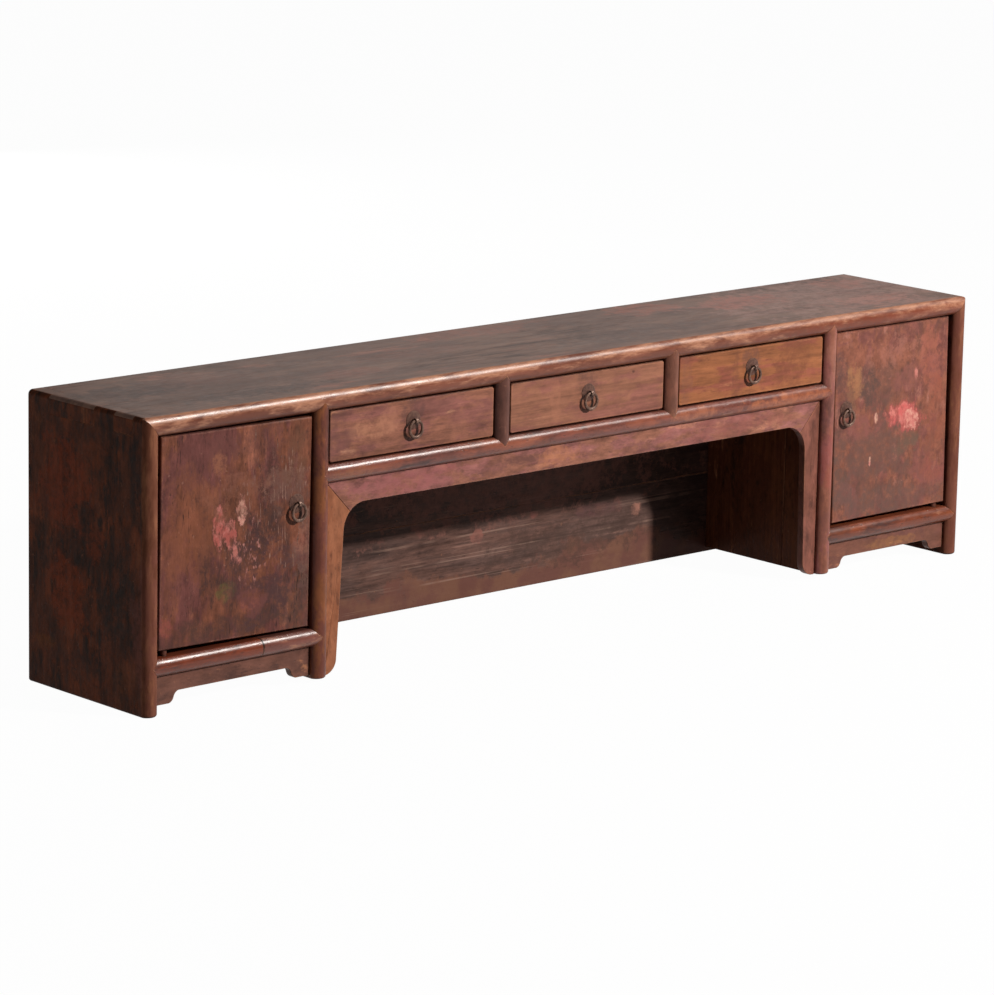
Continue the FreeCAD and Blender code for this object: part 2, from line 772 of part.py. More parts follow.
def make_back_boards():
    """Three boards across the back, with a tongue on each upper edge but the last."""
    names = ("back_board_lower", "back_board_middle", "back_board_upper")
    height = (top_under - size.back_floor_gap) / len(names)
    reach = end_face + size.back_rebate
    tongue_front = back - size.back_thickness / 2 - size.back_tongue / 2
    tongue_back = tongue_front + size.back_tongue
    play = size.joint_clearance
    for index, name in enumerate(names):
        body = new_piece(name)
        low = size.back_floor_gap + height * index
        high = low + height
        pad(body, "board", "YZ_Plane", -reach, reach, rectangle(inner_back, low, back, high))
        if index < len(names) - 1:
            pad(body, "tongue", "YZ_Plane", -reach, reach,
                rectangle(tongue_front, high, tongue_back, high + size.back_tongue))
        if index > 0:
            cut(body, "groove", "YZ_Plane", -reach, reach,
                rectangle(tongue_front - play, low, tongue_back + play, low + size.back_tongue + play))


# Ring pulls

eye_hole = size.ring_wire / 2 + size.ring_play
eye_radius = eye_hole + size.eye_wall
eye_reach = size.plate_dome + size.eye_seat_gap + eye_radius
shank_radius = size.shank_diameter / 2
shank_hole = shank_radius + size.shank_play


def make_pull(owner, x, y, z, thickness):
    """A ring pull: a domed plate, a split pin clenched behind the board, and a hanging ring."""
    plate = new_piece(f"{owner}_pull_plate")
    plate_radius = size.plate_diameter / 2
    rise = size.plate_dome - size.plate_rim
    dome = swell_radius(plate_radius, rise)
    profile = new_sketch(plate, "profile", "YZ_Plane", 0, [[
        (0, shank_hole), (0, plate_radius), (-size.plate_rim, plate_radius),
        Arc((-size.plate_dome, shank_hole), dome, (-1, 1))]])
    turned = plate.newObject("PartDesign::Revolution", f"{plate.Name}_turned")
    turned.Profile = profile
    turned.ReferenceAxis = (profile, ["H_Axis"])
    place(plate, x, y, z)

    eye = new_piece(f"{owner}_pull_eye")
    half = size.eye_width / 2
    clench_back = thickness + size.clench_thickness
    pad(eye, "loop", "YZ_Plane", -half, half, Circle((-eye_reach, 0), eye_radius))
    pad(eye, "shank", "XZ_Plane", -eye_reach, clench_back, Circle((0, 0), shank_radius))
    pad(eye, "clench", "XZ_Plane", thickness, clench_back,
        rectangle(-size.clench_width / 2, -size.clench_length, size.clench_width / 2, size.clench_length))
    cut(eye, "hole", "YZ_Plane", -half, half, Circle((-eye_reach, 0), eye_hole))
    place(eye, x, y, z)

    ring = document.addObject("Part::Torus", f"{owner}_ring")
    pieces[f"{owner}_ring"] = ring
    ring.Placement.Rotation = FreeCAD.Rotation(FreeCAD.Vector(1, 0, 0), 90)
    bind(ring, "Radius1", size.ring_radius)
    bind(ring, "Radius2", size.ring_wire / 2)
    place(ring, x, y - eye_reach, z - size.ring_radius)


def cut_shank_hole(body, x, y, z, thickness):
    cut(body, "shank_hole", "XZ_Plane", y - size.cutter_margin, y + thickness + size.cutter_margin,
        Circle((x, z), shank_hole))


# Doors

def batten_section(middle):
    """Section of a dovetailed batten, from the foot of its housing to its proud face."""
    foot, face = door_back - size.batten_housing, door_back + size.batten_proud
    wide = size.batten_height / 2
    narrow = wide - size.batten_flare
    return [(foot, middle - wide), (foot, middle + wide), (door_back, middle + narrow),
            (face, middle + narrow), (face, middle - narrow), (door_back, middle - narrow)]


def make_battens(name, side, panel, middles):
    """Two battens across the back of a door, slid in from its free edge."""
    end = side * (hinge_edge - size.batten_end_gap)
    battens = []
    for place_name, middle in middles.items():
        section = batten_section(middle)
        cut(panel, f"{place_name}_housing", "YZ_Plane", *span(side * free_edge[side], end), section)
        batten = new_body(f"{name}_{place_name}_batten")
        pad(batten, "bar", "YZ_Plane", *span(side * (free_edge[side] + size.batten_free_inset), end), section)
        battens.append(batten)
    new_pair(f"{name}_battens", battens)


def make_pivots(name, side, spans):
    """The upper and lower pivot, driven into the door and turning in the carcass."""
    pivots = []
    for place_name, (low, high) in spans.items():
        pivot = document.addObject("Part::Cylinder", f"{name}_{place_name}_pivot")
        bind(pivot, "Radius", pivot_radius)
        bind(pivot, "Height", high - low)
        place(pivot, side * pivot_x, pivot_y, low)
        pivots.append(pivot)
    new_pair(f"{name}_pivots", pivots)


def make_door(side):
    """A plank door on two wooden pivots, sagging and leaning a little towards its free side."""
    name = f"{SIDE_NAMES[side]}_door"
    gap = {corner: getattr(size, f"{name}_{corner}_gap")
           for corner in ("hinge_top", "free_top", "hinge_bottom", "free_bottom")}
    hinge_top, free_top = top_under - gap["hinge_top"], top_under - gap["free_top"]
    hinge_low, free_low = base_rail_top + gap["hinge_bottom"], base_rail_top + gap["free_bottom"]
    free, lean = free_edge[side], getattr(size, f"{name}_lean")
    pull_x = side * (free + size.door_pull_reach)

    panel = new_piece(f"{name}_panel")
    board = pad(panel, "board", "XZ_Plane", door_front, door_back,
                [(side * hinge_edge, hinge_low), (side * (hinge_edge - lean), hinge_top),
                 (side * free, free_top), (side * (free + lean), free_low)])
    soften(panel, "eased_edges", board, size.door_edge_radius)
    cut_shank_hole(panel, pull_x, door_front, size.door_pull_height, size.door_thickness)
    upper_foot, lower_head = hinge_top - size.pivot_depth, hinge_low + size.pivot_depth
    bore = Circle((side * pivot_x, pivot_y), pivot_radius + size.pivot_fit)
    cut(panel, "upper_bore", "XY_Plane", upper_foot, top_under, bore)
    cut(panel, "lower_bore", "XY_Plane", base_rail_top, lower_head, bore)
    make_battens(name, side, panel, {"lower": hinge_low + size.batten_inset,
                                     "upper": free_top - size.batten_inset})
    reach = size.pivot_socket_depth - size.pivot_end_play
    make_pivots(name, side, {"lower": (base_rail_top - reach, lower_head),
                             "upper": (upper_foot, top_under + reach)})
    make_pull(name, pull_x, door_front, size.door_pull_height, size.door_thickness)


# Drawers

drawer_face = front + size.drawer_recess
drawer_face_back = drawer_face + size.drawer_front_thickness
drawer_end = inner_back - size.drawer_back_gap
drawer_half = drawer_opening / 2 - size.drawer_gap
drawer_low = deck_top + size.drawer_gap
drawer_high = top_under - size.drawer_gap
side_low = deck_top + size.drawer_runner_play
side_high = drawer_high - size.drawer_side_drop
side_outer = drawer_half - size.drawer_side_inset
side_inner = side_outer - size.drawer_side_thickness
lap_front = drawer_face_back - size.drawer_lap
bottom_low = side_low + size.drawer_bottom_rise
bottom_high = bottom_low + size.drawer_bottom_thickness


def make_drawer_front(label, centre, pull_z):
    body = new_piece(label)
    left, right = centre - drawer_half, centre + drawer_half
    turn = size.drawer_corner_radius
    board = pad(body, "board", "XZ_Plane", drawer_face, drawer_face_back,
                [Arc((left, drawer_high - turn), turn, (-1, 1)), (left, drawer_low + turn),
                 Arc((left + turn, drawer_low), turn, (-1, -1)), (right - turn, drawer_low),
                 Arc((right, drawer_low + turn), turn, (1, -1)), (right, drawer_high - turn),
                 Arc((right - turn, drawer_high), turn, (1, 1)), (left + turn, drawer_high)])
    soften(body, "eased_edges", board, size.drawer_edge_radius)
    beyond = size.cutter_margin
    cut(body, "side_laps", "XY_Plane", drawer_low - beyond, side_high,
        *[rectangle(centre + side * side_inner, lap_front,
                    centre + side * (drawer_half + beyond), drawer_face_back + beyond)
          for side in SIDE_NAMES])
    cut(body, "bottom_groove", "XZ_Plane", drawer_face_back - size.drawer_groove, drawer_face_back,
        rectangle(centre - side_inner, bottom_low, centre + side_inner, bottom_high + size.joint_clearance))
    cut_shank_hole(body, centre, drawer_face, pull_z, size.drawer_front_thickness)


def make_drawer_sides(label, centre):
    sides = []
    for side, name in SIDE_NAMES.items():
        body = new_body(f"{label}_{name}")
        inner, outer = centre + side * side_inner, centre + side * side_outer
        groove = centre + side * (side_inner + size.drawer_groove)
        pad(body, "board", "XZ_Plane", lap_front, drawer_end, rectangle(inner, side_low, outer, side_high))
        cut(body, "bottom_groove", "XZ_Plane", lap_front, drawer_end,
            rectangle(inner, bottom_low, groove, bottom_high + size.joint_clearance))
        sides.append(body)
    new_pair(label, sides)


def make_drawer(index):
    """A drawer with lapped sides and a bottom slid into grooves under its back."""
    name = DRAWER_NAMES[index]
    centre = drawer_middle + index * drawer_pitch
    pull_z = (drawer_low + drawer_high) / 2 + size.drawer_pull_rise
    make_drawer_front(f"{name}_front", centre, pull_z)
    make_drawer_sides(f"{name}_sides", centre)
    back_board = new_piece(f"{name}_back")
    pad(back_board, "board", "XZ_Plane", drawer_end - size.drawer_back_thickness, drawer_end,
        rectangle(centre - side_inner, bottom_high, centre + side_inner, side_high))
    bottom = new_piece(f"{name}_bottom")
    reach = side_inner + size.drawer_groove - size.joint_clearance
    groove_end = drawer_face_back - size.drawer_groove + size.joint_clearance
    pad(bottom, "board", "XZ_Plane", groove_end, drawer_end,
        rectangle(centre - reach, bottom_low, centre + reach, bottom_high))
    make_pull(name, centre, drawer_face, pull_z, size.drawer_front_thickness)


# The whole cabinet

def check_model():
    """Stop if a feature failed, a cut missed its solid or a piece has no sound shape."""
    for item in document.Objects:
        if "Invalid" in item.State or "Error" in item.State:
            raise RuntimeError(f"{item.Name} did not build")
    for feature in cuts:
        if feature.Shape.Volume >= feature.BaseFeature.Shape.Volume:
            raise RuntimeError(f"{feature.Name} cut nothing")
    for label, item in pieces.items():
        if item.Shape.isNull() or not item.Shape.isValid():
            raise RuntimeError(f"{label} has no sound shape")


make_top_board()
make_drawer_rail()
make_base_rails()
make_center_apron()
make_deck()
make_back_boards()
for side in SIDE_NAMES:
    make_end_board(side)
    make_inner_post(side)
    make_partition(side)
    make_divider(side)
    make_apron_leg(side)
    make_base_apron(side)
    make_floor(side)
    make_door(side)
for index in DRAWER_NAMES:
    make_drawer(index)

document.recompute()
check_model()
os.makedirs("parts", exist_ok=True)
for label, item in pieces.items():
    item.Shape.exportStep(f"parts/{label}.step")
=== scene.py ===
import json
import math
from functools import reduce

import bmesh
import bpy
from mathutils import Matrix, Vector, noise


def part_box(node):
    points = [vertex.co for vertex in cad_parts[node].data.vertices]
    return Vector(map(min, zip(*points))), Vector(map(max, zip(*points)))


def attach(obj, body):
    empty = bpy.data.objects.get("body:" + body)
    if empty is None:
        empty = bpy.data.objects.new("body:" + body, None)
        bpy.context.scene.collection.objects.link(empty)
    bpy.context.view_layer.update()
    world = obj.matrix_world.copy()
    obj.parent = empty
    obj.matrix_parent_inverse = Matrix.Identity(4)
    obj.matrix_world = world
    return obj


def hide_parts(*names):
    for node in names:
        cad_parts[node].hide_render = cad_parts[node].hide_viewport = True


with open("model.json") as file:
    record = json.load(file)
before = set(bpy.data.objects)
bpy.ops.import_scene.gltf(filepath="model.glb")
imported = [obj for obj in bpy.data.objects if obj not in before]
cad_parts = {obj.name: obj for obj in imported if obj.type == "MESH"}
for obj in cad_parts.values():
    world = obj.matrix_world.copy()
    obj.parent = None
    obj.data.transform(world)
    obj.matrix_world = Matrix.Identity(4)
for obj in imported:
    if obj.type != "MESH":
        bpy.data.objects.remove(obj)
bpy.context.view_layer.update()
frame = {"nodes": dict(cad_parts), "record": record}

# Low cabinet in worn red-brown lacquer: its aged surfaces, ring pulls, floor, lights and camera.
# Metres, in the frame of the construction: +X to the right, -Y to the front, +Z up.

RECORD = frame["record"]
BODY_OF = {node: body for body, nodes in RECORD["behaviour"]["bodies"].items() for node in nodes}
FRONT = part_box("top_board")[0].y
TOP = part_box("top_board")[1].z
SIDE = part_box("top_board")[1].x
QUARTER_TURN = math.radians(90)
FULL_TURN = math.radians(360)


def rgb(red, green, blue):
    """A colour given as it looks on a screen, 0 to 255, turned into the linear one that shaders use."""
    def linear(level):
        level /= 255
        return level / 12.92 if level <= 0.04045 else ((level + 0.055) / 1.055) ** 2.4
    return (linear(red), linear(green), linear(blue), 1)


# Short calls that fill a shader tree

class Shading:
    """A node tree. Each call adds a node or a few and gives back what the next one needs."""

    def __init__(self, tree):
        self.tree = tree

    def feed(self, socket, value):
        if isinstance(value, bpy.types.NodeSocket):
            self.tree.links.new(value, socket)
        else:
            socket.default_value = value

    def add(self, kind, inputs=None, **settings):
        item = self.tree.nodes.new(kind)
        for name, value in settings.items():
            setattr(item, name, value)
        for socket, value in (inputs or {}).items():
            self.feed(item.inputs[socket], value)
        return item

    def math(self, operation, first, second=0.0):
        return self.add("ShaderNodeMath", {0: first, 1: second}, operation=operation).outputs[0]

    def total(self, *values):
        return reduce(lambda first, second: self.math("ADD", first, second), values)

    def product(self, *values):
        return reduce(lambda first, second: self.math("MULTIPLY", first, second), values)

    def vector(self, operation, first, second):
        return self.add("ShaderNodeVectorMath", {0: first, 1: second}, operation=operation).outputs[0]

    def scaled(self, place, rates):
        return self.vector("MULTIPLY", place, rates)

    def axis(self, place, name):
        return self.add("ShaderNodeSeparateXYZ", {0: place}).outputs[name]

    def away(self, place, centre, reach):
        """How far a place lies from a centre, as a share of a reach."""
        offset = self.vector("DIVIDE", self.vector("SUBTRACT", place, centre), reach)
        return self.add("ShaderNodeVectorMath", {0: offset}, operation="LENGTH").outputs["Value"]

    def noise(self, place, scale, detail=3.0, roughness=0.55, distortion=0.0):
        return self.add("ShaderNodeTexNoise", {"Vector": place, "Scale": scale, "Detail": detail,
                                               "Roughness": roughness, "Distortion": distortion}).outputs[0]

    def centred(self, value, strength):
        """A noise moved to swing about 0, by a strength."""
        return self.product(self.math("SUBTRACT", value, 0.5), strength)

    def step(self, value, low, high, bottom=0.0, top=1.0):
        """A soft step: bottom below low, top above high."""
        return self.add("ShaderNodeMapRange", {"Value": value, "From Min": low, "From Max": high,
                                               "To Min": bottom, "To Max": top},
                        interpolation_type="SMOOTHSTEP").outputs[0]

    def mix(self, share, first, second, blend="MIX"):
        return self.add("ShaderNodeMix", {0: share, 6: first, 7: second},
                        data_type="RGBA", blend_type=blend).outputs[2]

    def group(self, tree, **inputs):
        item = self.add("ShaderNodeGroup", node_tree=tree)
        for socket, value in inputs.items():
            self.feed(item.inputs[socket.replace("_", " ").title()], value)
        return item.outputs


FLOAT, COLOUR, PLACE = "NodeSocketFloat", "NodeSocketColor", "NodeSocketVector"


def new_group(name, inputs, outputs):
    """An empty shader group with named inputs and outputs."""
    tree = bpy.data.node_groups.new(name, "ShaderNodeTree")
    for socket, kind in inputs.items():
        tree.interface.new_socket(name=socket, in_out="INPUT", socket_type=kind)
    for socket, kind in outputs.items():
        tree.interface.new_socket(name=socket, in_out="OUTPUT", socket_type=kind)
    given = tree.nodes.new("NodeGroupInput").outputs
    result = tree.nodes.new("NodeGroupOutput").inputs
    return tree, Shading(tree), given, result


# Effects that the finishes share. Places are in board space: X runs along the grain. Rates are per metre.

GRAIN_SWAY = (0.0, 0.012, 0.012)
STREAK_RATE = (5.0, 150.0, 150.0)
FIGURE_RATE = (2.2, 34.0, 34.0)
PORE_RATE = (40.0, 620.0, 620.0)
EDGE_GAIN = 3.4
COAT_COLOURS = ("Wood", "Tone", "Second Tone", "Pale", "Dark")
COAT_VALUES = ("Bare", "Second Share", "Pale Share", "Dark Share", "Patch", "Stretch", "Grain", "Mottle",
               "Speckle", "Flecks", "Dullness", "Dents")


def make_wood_grain():
    """Streaks along the grain, a broad figure and short dark pores."""
    tree, inside, given, result = new_group(
        "wood_grain", {"Place": PLACE}, {"Streaks": FLOAT, "Figure": FLOAT, "Pores": FLOAT})
    place = given["Place"]
    bent = inside.vector("ADD", place, inside.scaled(inside.noise(place, 4.0, 2.0), GRAIN_SWAY))
    pores = inside.noise(inside.scaled(bent, PORE_RATE), 1.0, 2.0)
    inside.feed(result["Streaks"], inside.noise(inside.scaled(bent, STREAK_RATE), 1.0, 5.0, 0.62))
    inside.feed(result["Figure"], inside.noise(inside.scaled(bent, FIGURE_RATE), 1.0, 3.0, 0.5, 0.6))
    inside.feed(result["Pores"], inside.step(pores, 0.58, 0.70))
    return tree


def make_worn_edges():
    """Where hands and feet have rubbed the finish off the edges of a piece."""
    tree, inside, given, result = new_group(
        "worn_edges", {"Place": PLACE, "Reach": FLOAT, "Share": FLOAT}, {"Mask": FLOAT})
    rounded = inside.add("ShaderNodeBevel", {"Radius": given["Reach"]}, samples=8).outputs[0]
    true = inside.add("ShaderNodeNewGeometry").outputs["Normal"]
    facing = inside.add("ShaderNodeVectorMath", {0: rounded, 1: true}, operation="DOT_PRODUCT")
    edge = inside.product(inside.math("SUBTRACT", 1.0, facing.outputs["Value"]), EDGE_GAIN)
    broad = inside.product(inside.noise(given["Place"], 14.0, 4.0, 0.6), 0.75)
    fine = inside.product(inside.noise(given["Place"], 120.0, 3.0, 0.6), 0.45)
    broken = inside.step(inside.total(broad, fine), 0.45, 0.75, 0.15, 1.3)
    inside.feed(result["Mask"], inside.step(inside.product(edge, broken, given["Share"]), 0.08, 0.55))
    return tree


def make_corner_dirt_and_shade():
    """Darkening where pieces meet, found by ambient occlusion: dirt gathered there and painted shade."""
    tree, inside, given, result = new_group(
        "corner_dirt_and_shade", {"Place": PLACE, "Reach": FLOAT}, {"Mask": FLOAT})
    around = inside.add("ShaderNodeAmbientOcclusion", {"Distance": given["Reach"]}, samples=6)
    uneven = inside.centred(inside.noise(given["Place"], 45.0, 5.0, 0.68), 0.8)
    inside.feed(result["Mask"], inside.step(inside.total(around.outputs["AO"], uneven), 0.42, 0.88, 1.0, 0.0))
    return tree


def make_ragged_patch():
    """A patch round a centre, ragged at every scale and thin in places."""
    tree, inside, given, result = new_group(
        "ragged_patch", {"Place": PLACE, "Centre": PLACE, "Reach": PLACE, "Ragged": FLOAT}, {"Mask": FLOAT})
    place = given["Place"]
    edge = inside.centred(inside.noise(place, 26.0, 8.0, 0.74), inside.product(given["Ragged"], 4.0))
    away = inside.total(inside.away(place, given["Centre"], given["Reach"]), edge)
    thin = inside.step(inside.noise(place, 75.0, 7.0, 0.76), 0.36, 0.60, 0.2, 1.0)
    inside.feed(result["Mask"], inside.product(inside.step(away, 0.60, 1.05, 1.0, 0.0), thin))
    return tree


def make_aged_lacquer(grain):
    """Lacquer over wood: two mottled tones, a pale bloom, a broken dark film, chips, pits and bare places."""
    tree, inside, given, result = new_group(
        "aged_lacquer",
        {"Place": PLACE} | dict.fromkeys(COAT_COLOURS, COLOUR) | dict.fromkeys(COAT_VALUES, FLOAT),
        {"Color": COLOUR, "Roughness": FLOAT, "Height": FLOAT})
    place = given["Place"]
    lines = inside.group(grain, place=place)
    streaks = inside.math("SUBTRACT", lines["Streaks"], 0.5)
    drawn_out = inside.add("ShaderNodeCombineXYZ", {"X": given["Stretch"], "Y": 1.0, "Z": 1.0}).outputs[0]
    along = inside.scaled(place, drawn_out)
    moved = inside.vector("ADD", along, (3.1, 1.7, 2.3))
    aside = inside.vector("ADD", along, (7.7, 4.9, 6.1))
    frequency = inside.math("DIVIDE", 1.0, given["Patch"])
    clouds = inside.noise(along, frequency, 8.0, 0.68, 0.3)
    stains = inside.noise(moved, inside.product(frequency, 0.7), 8.0, 0.70, 0.4)
    blooms = inside.noise(aside, inside.product(frequency, 0.9), 8.0, 0.68, 0.3)
    mottling = inside.noise(aside, inside.product(frequency, 2.2), 6.0, 0.72)
    speckling = inside.noise(aside, 150.0, 4.0, 0.7)

    def cover(pattern, share, follow, soft):
        """Where a pattern, drawn out along the streaks, covers about this share of the surface."""
        level = inside.math("SUBTRACT", 0.68, inside.product(share, 0.36))
        drawn = inside.total(pattern, inside.product(streaks, follow))
        return inside.step(inside.math("SUBTRACT", drawn, level), -soft, soft)

    tone = inside.mix(cover(clouds, given["Second Share"], 0.25, 0.06), given["Tone"], given["Second Tone"])
    bloom = inside.product(cover(blooms, given["Pale Share"], 0.3, 0.05), 0.8)
    tone = inside.mix(bloom, tone, given["Pale"])
    shade = inside.total(1.0, inside.product(streaks, given["Grain"], 2.2),
                         inside.centred(lines["Figure"], given["Grain"]),
                         inside.centred(mottling, given["Mottle"]),
                         inside.centred(speckling, given["Speckle"]))
    tone = inside.mix(1.0, tone, shade, "MULTIPLY")

    film = cover(stains, given["Dark Share"], 0.35, 0.07)
    thin = inside.step(inside.noise(moved, 95.0, 5.0, 0.7), 0.36, 0.58, 0.4, 0.95)
    pits = inside.step(inside.noise(moved, 190.0, 3.0, 0.6), 0.63, 0.70)
    for darker in (inside.product(film, thin), inside.product(pits, given["Flecks"]),
                   inside.product(lines["Pores"], given["Grain"], 0.5)):
        tone = inside.mix(darker, tone, given["Dark"])

    wood = inside.mix(1.0, given["Wood"], inside.total(1.0, inside.product(streaks, 1.4)), "MULTIPLY")
    chips = inside.step(inside.noise(place, 130.0, 4.0, 0.62), 0.66, 0.72)
    bare = inside.math("MAXIMUM", given["Bare"], inside.product(chips, given["Flecks"], 0.6))
    inside.feed(result["Color"], inside.mix(bare, tone, wood))

    rough = inside.total(given["Dullness"], inside.product(film, 0.05), inside.centred(clouds, 0.12),
                         inside.centred(speckling, 0.3))
    inside.feed(result["Roughness"], rough)

    waves = inside.noise(along, 24.0, 2.0)
    ripples = inside.noise(along, 110.0, 3.0)
    rises = inside.total(inside.product(streaks, 0.25), inside.product(waves, 1.1),
                         inside.product(ripples, 0.3))
    holes = inside.product(inside.math("MAXIMUM", pits, chips), -0.2)
    inside.feed(result["Height"], inside.product(inside.total(rises, holes), given["Dents"]))
    return tree


WOOD_GRAIN = make_wood_grain()
WORN_EDGES = make_worn_edges()
CORNER_DIRT_AND_SHADE = make_corner_dirt_and_shade()
RAGGED_PATCH = make_ragged_patch()
AGED_LACQUER = make_aged_lacquer(WOOD_GRAIN)


# How a finish is made

# The colour of the dark film of soot, and of the painted shade in corners and joins.
SOOT_AND_SHADE = rgb(50, 33, 28)
COAT = dict(dark=SOOT_AND_SHADE, wood=rgb(186, 126, 92), second_share=0.45, pale_share=0.1, dark_share=0.15, patch=0.05,
            stretch=0.5, grain=0.25, mottle=0.9, speckle=0.4, flecks=0.4, dullness=0.45, dents=1.0)
BUMP_DEPTH = 0.0009
# Reach and strength of the corner darkening, which is dirt and painted shade.
DIRT_AND_SHADE_REACH = 0.007
DIRT_AND_SHADE_COVER = 0.6
GRAIN_TURNS = {"X": None, "Y": (0, 0, -QUARTER_TURN), "Z": (0, QUARTER_TURN, 0)}
FINISHES = {}


def board_space(shading, grain_axis):
    """Where a point lies, and where on its board, with X along the grain and each board's own pattern."""
    place = turned = shading.add("ShaderNodeTexCoord").outputs["Object"]
    shift = shading.add("ShaderNodeAttribute", attribute_name="board_shift").outputs["Vector"]
    turn = GRAIN_TURNS[grain_axis]
    if turn:
        turned = shading.add("ShaderNodeMapping", {"Vector": place, "Rotation": turn}).outputs[0]
    return place, shading.vector("ADD", turned, shift)


def new_material(name):
    material = bpy.data.materials.new(name)
    material.use_nodes = True
    return material, Shading(material.node_tree), material.node_tree.nodes["Principled BSDF"]


def finish_surface(shading, surface, colour, roughness, height, depth=BUMP_DEPTH):
    shading.feed(surface.inputs["Base Color"], colour)
    shading.feed(surface.inputs["Roughness"], roughness)
    bump = shading.add("ShaderNodeBump", {"Height": height, "Distance": depth, "Strength": 1.0})
    shading.feed(surface.inputs["Normal"], bump.outputs[0])


def add_finish(name, grain_axis, tone, second_tone, edge_reach=0.004, edge_share=0.9, shine=0.16, layers=(),
               **changes):
    """Make a finish for a node or a kind of piece: the usual coat with some changes, and layers over it."""
    material, shading, surface = new_material(f"{name}_finish")
    place, space = board_space(shading, grain_axis)
    bare = shading.group(WORN_EDGES, place=space, reach=edge_reach, share=edge_share)["Mask"]
    settings = COAT | changes
    settings.setdefault("pale", settings["wood"])
    coat = shading.group(AGED_LACQUER, place=space, bare=bare, tone=tone, second_tone=second_tone, **settings)
    colour = coat["Color"]
    for layer in layers:
        colour = layer(shading, place, space, colour)
    # Darken surfaces near other surfaces by ambient occlusion: dirt in the joins and painted shade in corners
    # and recesses.
    dirt_and_shade = shading.group(CORNER_DIRT_AND_SHADE, place=space, reach=DIRT_AND_SHADE_REACH)["Mask"]
    colour = shading.mix(shading.product(dirt_and_shade, DIRT_AND_SHADE_COVER), colour, SOOT_AND_SHADE)
    finish_surface(shading, surface, colour, coat["Roughness"], coat["Height"])
    surface.inputs["Specular IOR Level"].default_value = shine
    FINISHES[name] = material


# Layers of colour over a lacquer. Each is given the place on the cabinet and on the board.

ANY = 10.0
VIEWS = {"front": lambda across, up, rest: (across, rest, up),
         "top": lambda across, back, rest: (across, back, rest),
         "end": lambda back, up, rest: (rest, back, up)}
FLAKE_SQUEEZE = (1.0, 1.0, 0.55)
FLAKE_COVER = 0.85
FACE_BLEND = 0.001
EDGE_DRAW = (0.22, 1.0, 1.0)
SCRATCH_RATE = (1.6, 210.0, 210.0)
PULL_GRIME = rgb(88, 62, 60)
PULL_GRIME_REACH = 0.024
PULL_GRIME_RISE = 0.010
CRACK_DARK = rgb(34, 24, 22)
CRACK_WIDE, CRACK_NARROW, CRACK_SOFT, CRACK_END = 0.0018, 0.0006, 0.0006, 0.02


def patch_mask(shading, place, centre, reach, ragged=0.8):
    return shading.group(RAGGED_PATCH, place=place, centre=centre, reach=reach, ragged=ragged)["Mask"]


def patches(*rows, view="front", ragged=0.8, depth=None):
    """Ragged patches seen in a view, each a centre, a reach, a colour and how much it covers.

    With a depth, they keep this near to the front.
    """
    lay = VIEWS[view]
    start, far = (FRONT, depth) if depth else (0, ANY)

    def layer(shading, place, space, colour):
        for centre, reach, tone, share in rows:
            mask = patch_mask(shading, place, lay(*centre, start), lay(*reach, far), ragged)
            colour = shading.mix(shading.product(mask, share), colour, tone)
        return colour
    return layer


def flaked_paint(*rows):
    """Worn remains of old paint: ragged flakes in front view, each a centre, a reach, two tones and a rim."""
    lay = VIEWS["front"]

    def layer(shading, place, space, colour):
        upright = shading.scaled(place, FLAKE_SQUEEZE)
        ragged = shading.centred(shading.noise(upright, 60.0, 7.0, 0.74), 4.0)
        fine = shading.step(shading.noise(upright, 110.0, 6.0, 0.74), 0.40, 0.56, 0.1, 1.0)
        tint = shading.step(shading.noise(place, 60.0, 5.0, 0.65), 0.42, 0.58)
        for centre, reach, tones, rim in rows:
            away = shading.total(shading.away(place, lay(*centre, 0), lay(*reach, ANY)), ragged)
            inner = shading.product(shading.step(away, 0.70, 0.98, 1.0, 0.0), fine)
            colour = shading.mix(shading.step(away, 0.9, 1.4, 0.5, 0.0), colour, rim)
            colour = shading.mix(shading.product(inner, FLAKE_COVER), colour, shading.mix(tint, *tones))
        return colour
    return layer


def ticks(tone, share, within=None, fineness=(55.0, 420.0)):
    """Short scratches and chips along the grain, over a board or within a centre and a reach."""
    along, across = fineness
    lay = VIEWS["front"]

    def layer(shading, place, space, colour):
        marks = shading.noise(shading.scaled(space, (along, across, across)), 1.0, 2.0, 0.5)
        if within:
            centre, reach = within
            spread = patch_mask(shading, place, lay(*centre, 0), lay(*reach, ANY))
        else:
            spread = shading.step(shading.noise(space, 9.0, 3.0), 0.42, 0.56)
        return shading.mix(shading.product(shading.step(marks, 0.60, 0.70), spread, share), colour, tone)
    return layer


def on_face(board, *layers):
    """Layers that stay on the front face of a board."""
    low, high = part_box(board)
    middle = (low.y + high.y) / 2

    def layer(shading, place, space, colour):
        covered = colour
        for each in layers:
            covered = each(shading, place, space, covered)
        front = shading.step(shading.axis(place, "Y"), middle - FACE_BLEND, middle + FACE_BLEND, 1.0, 0.0)
        return shading.mix(front, colour, covered)
    return layer


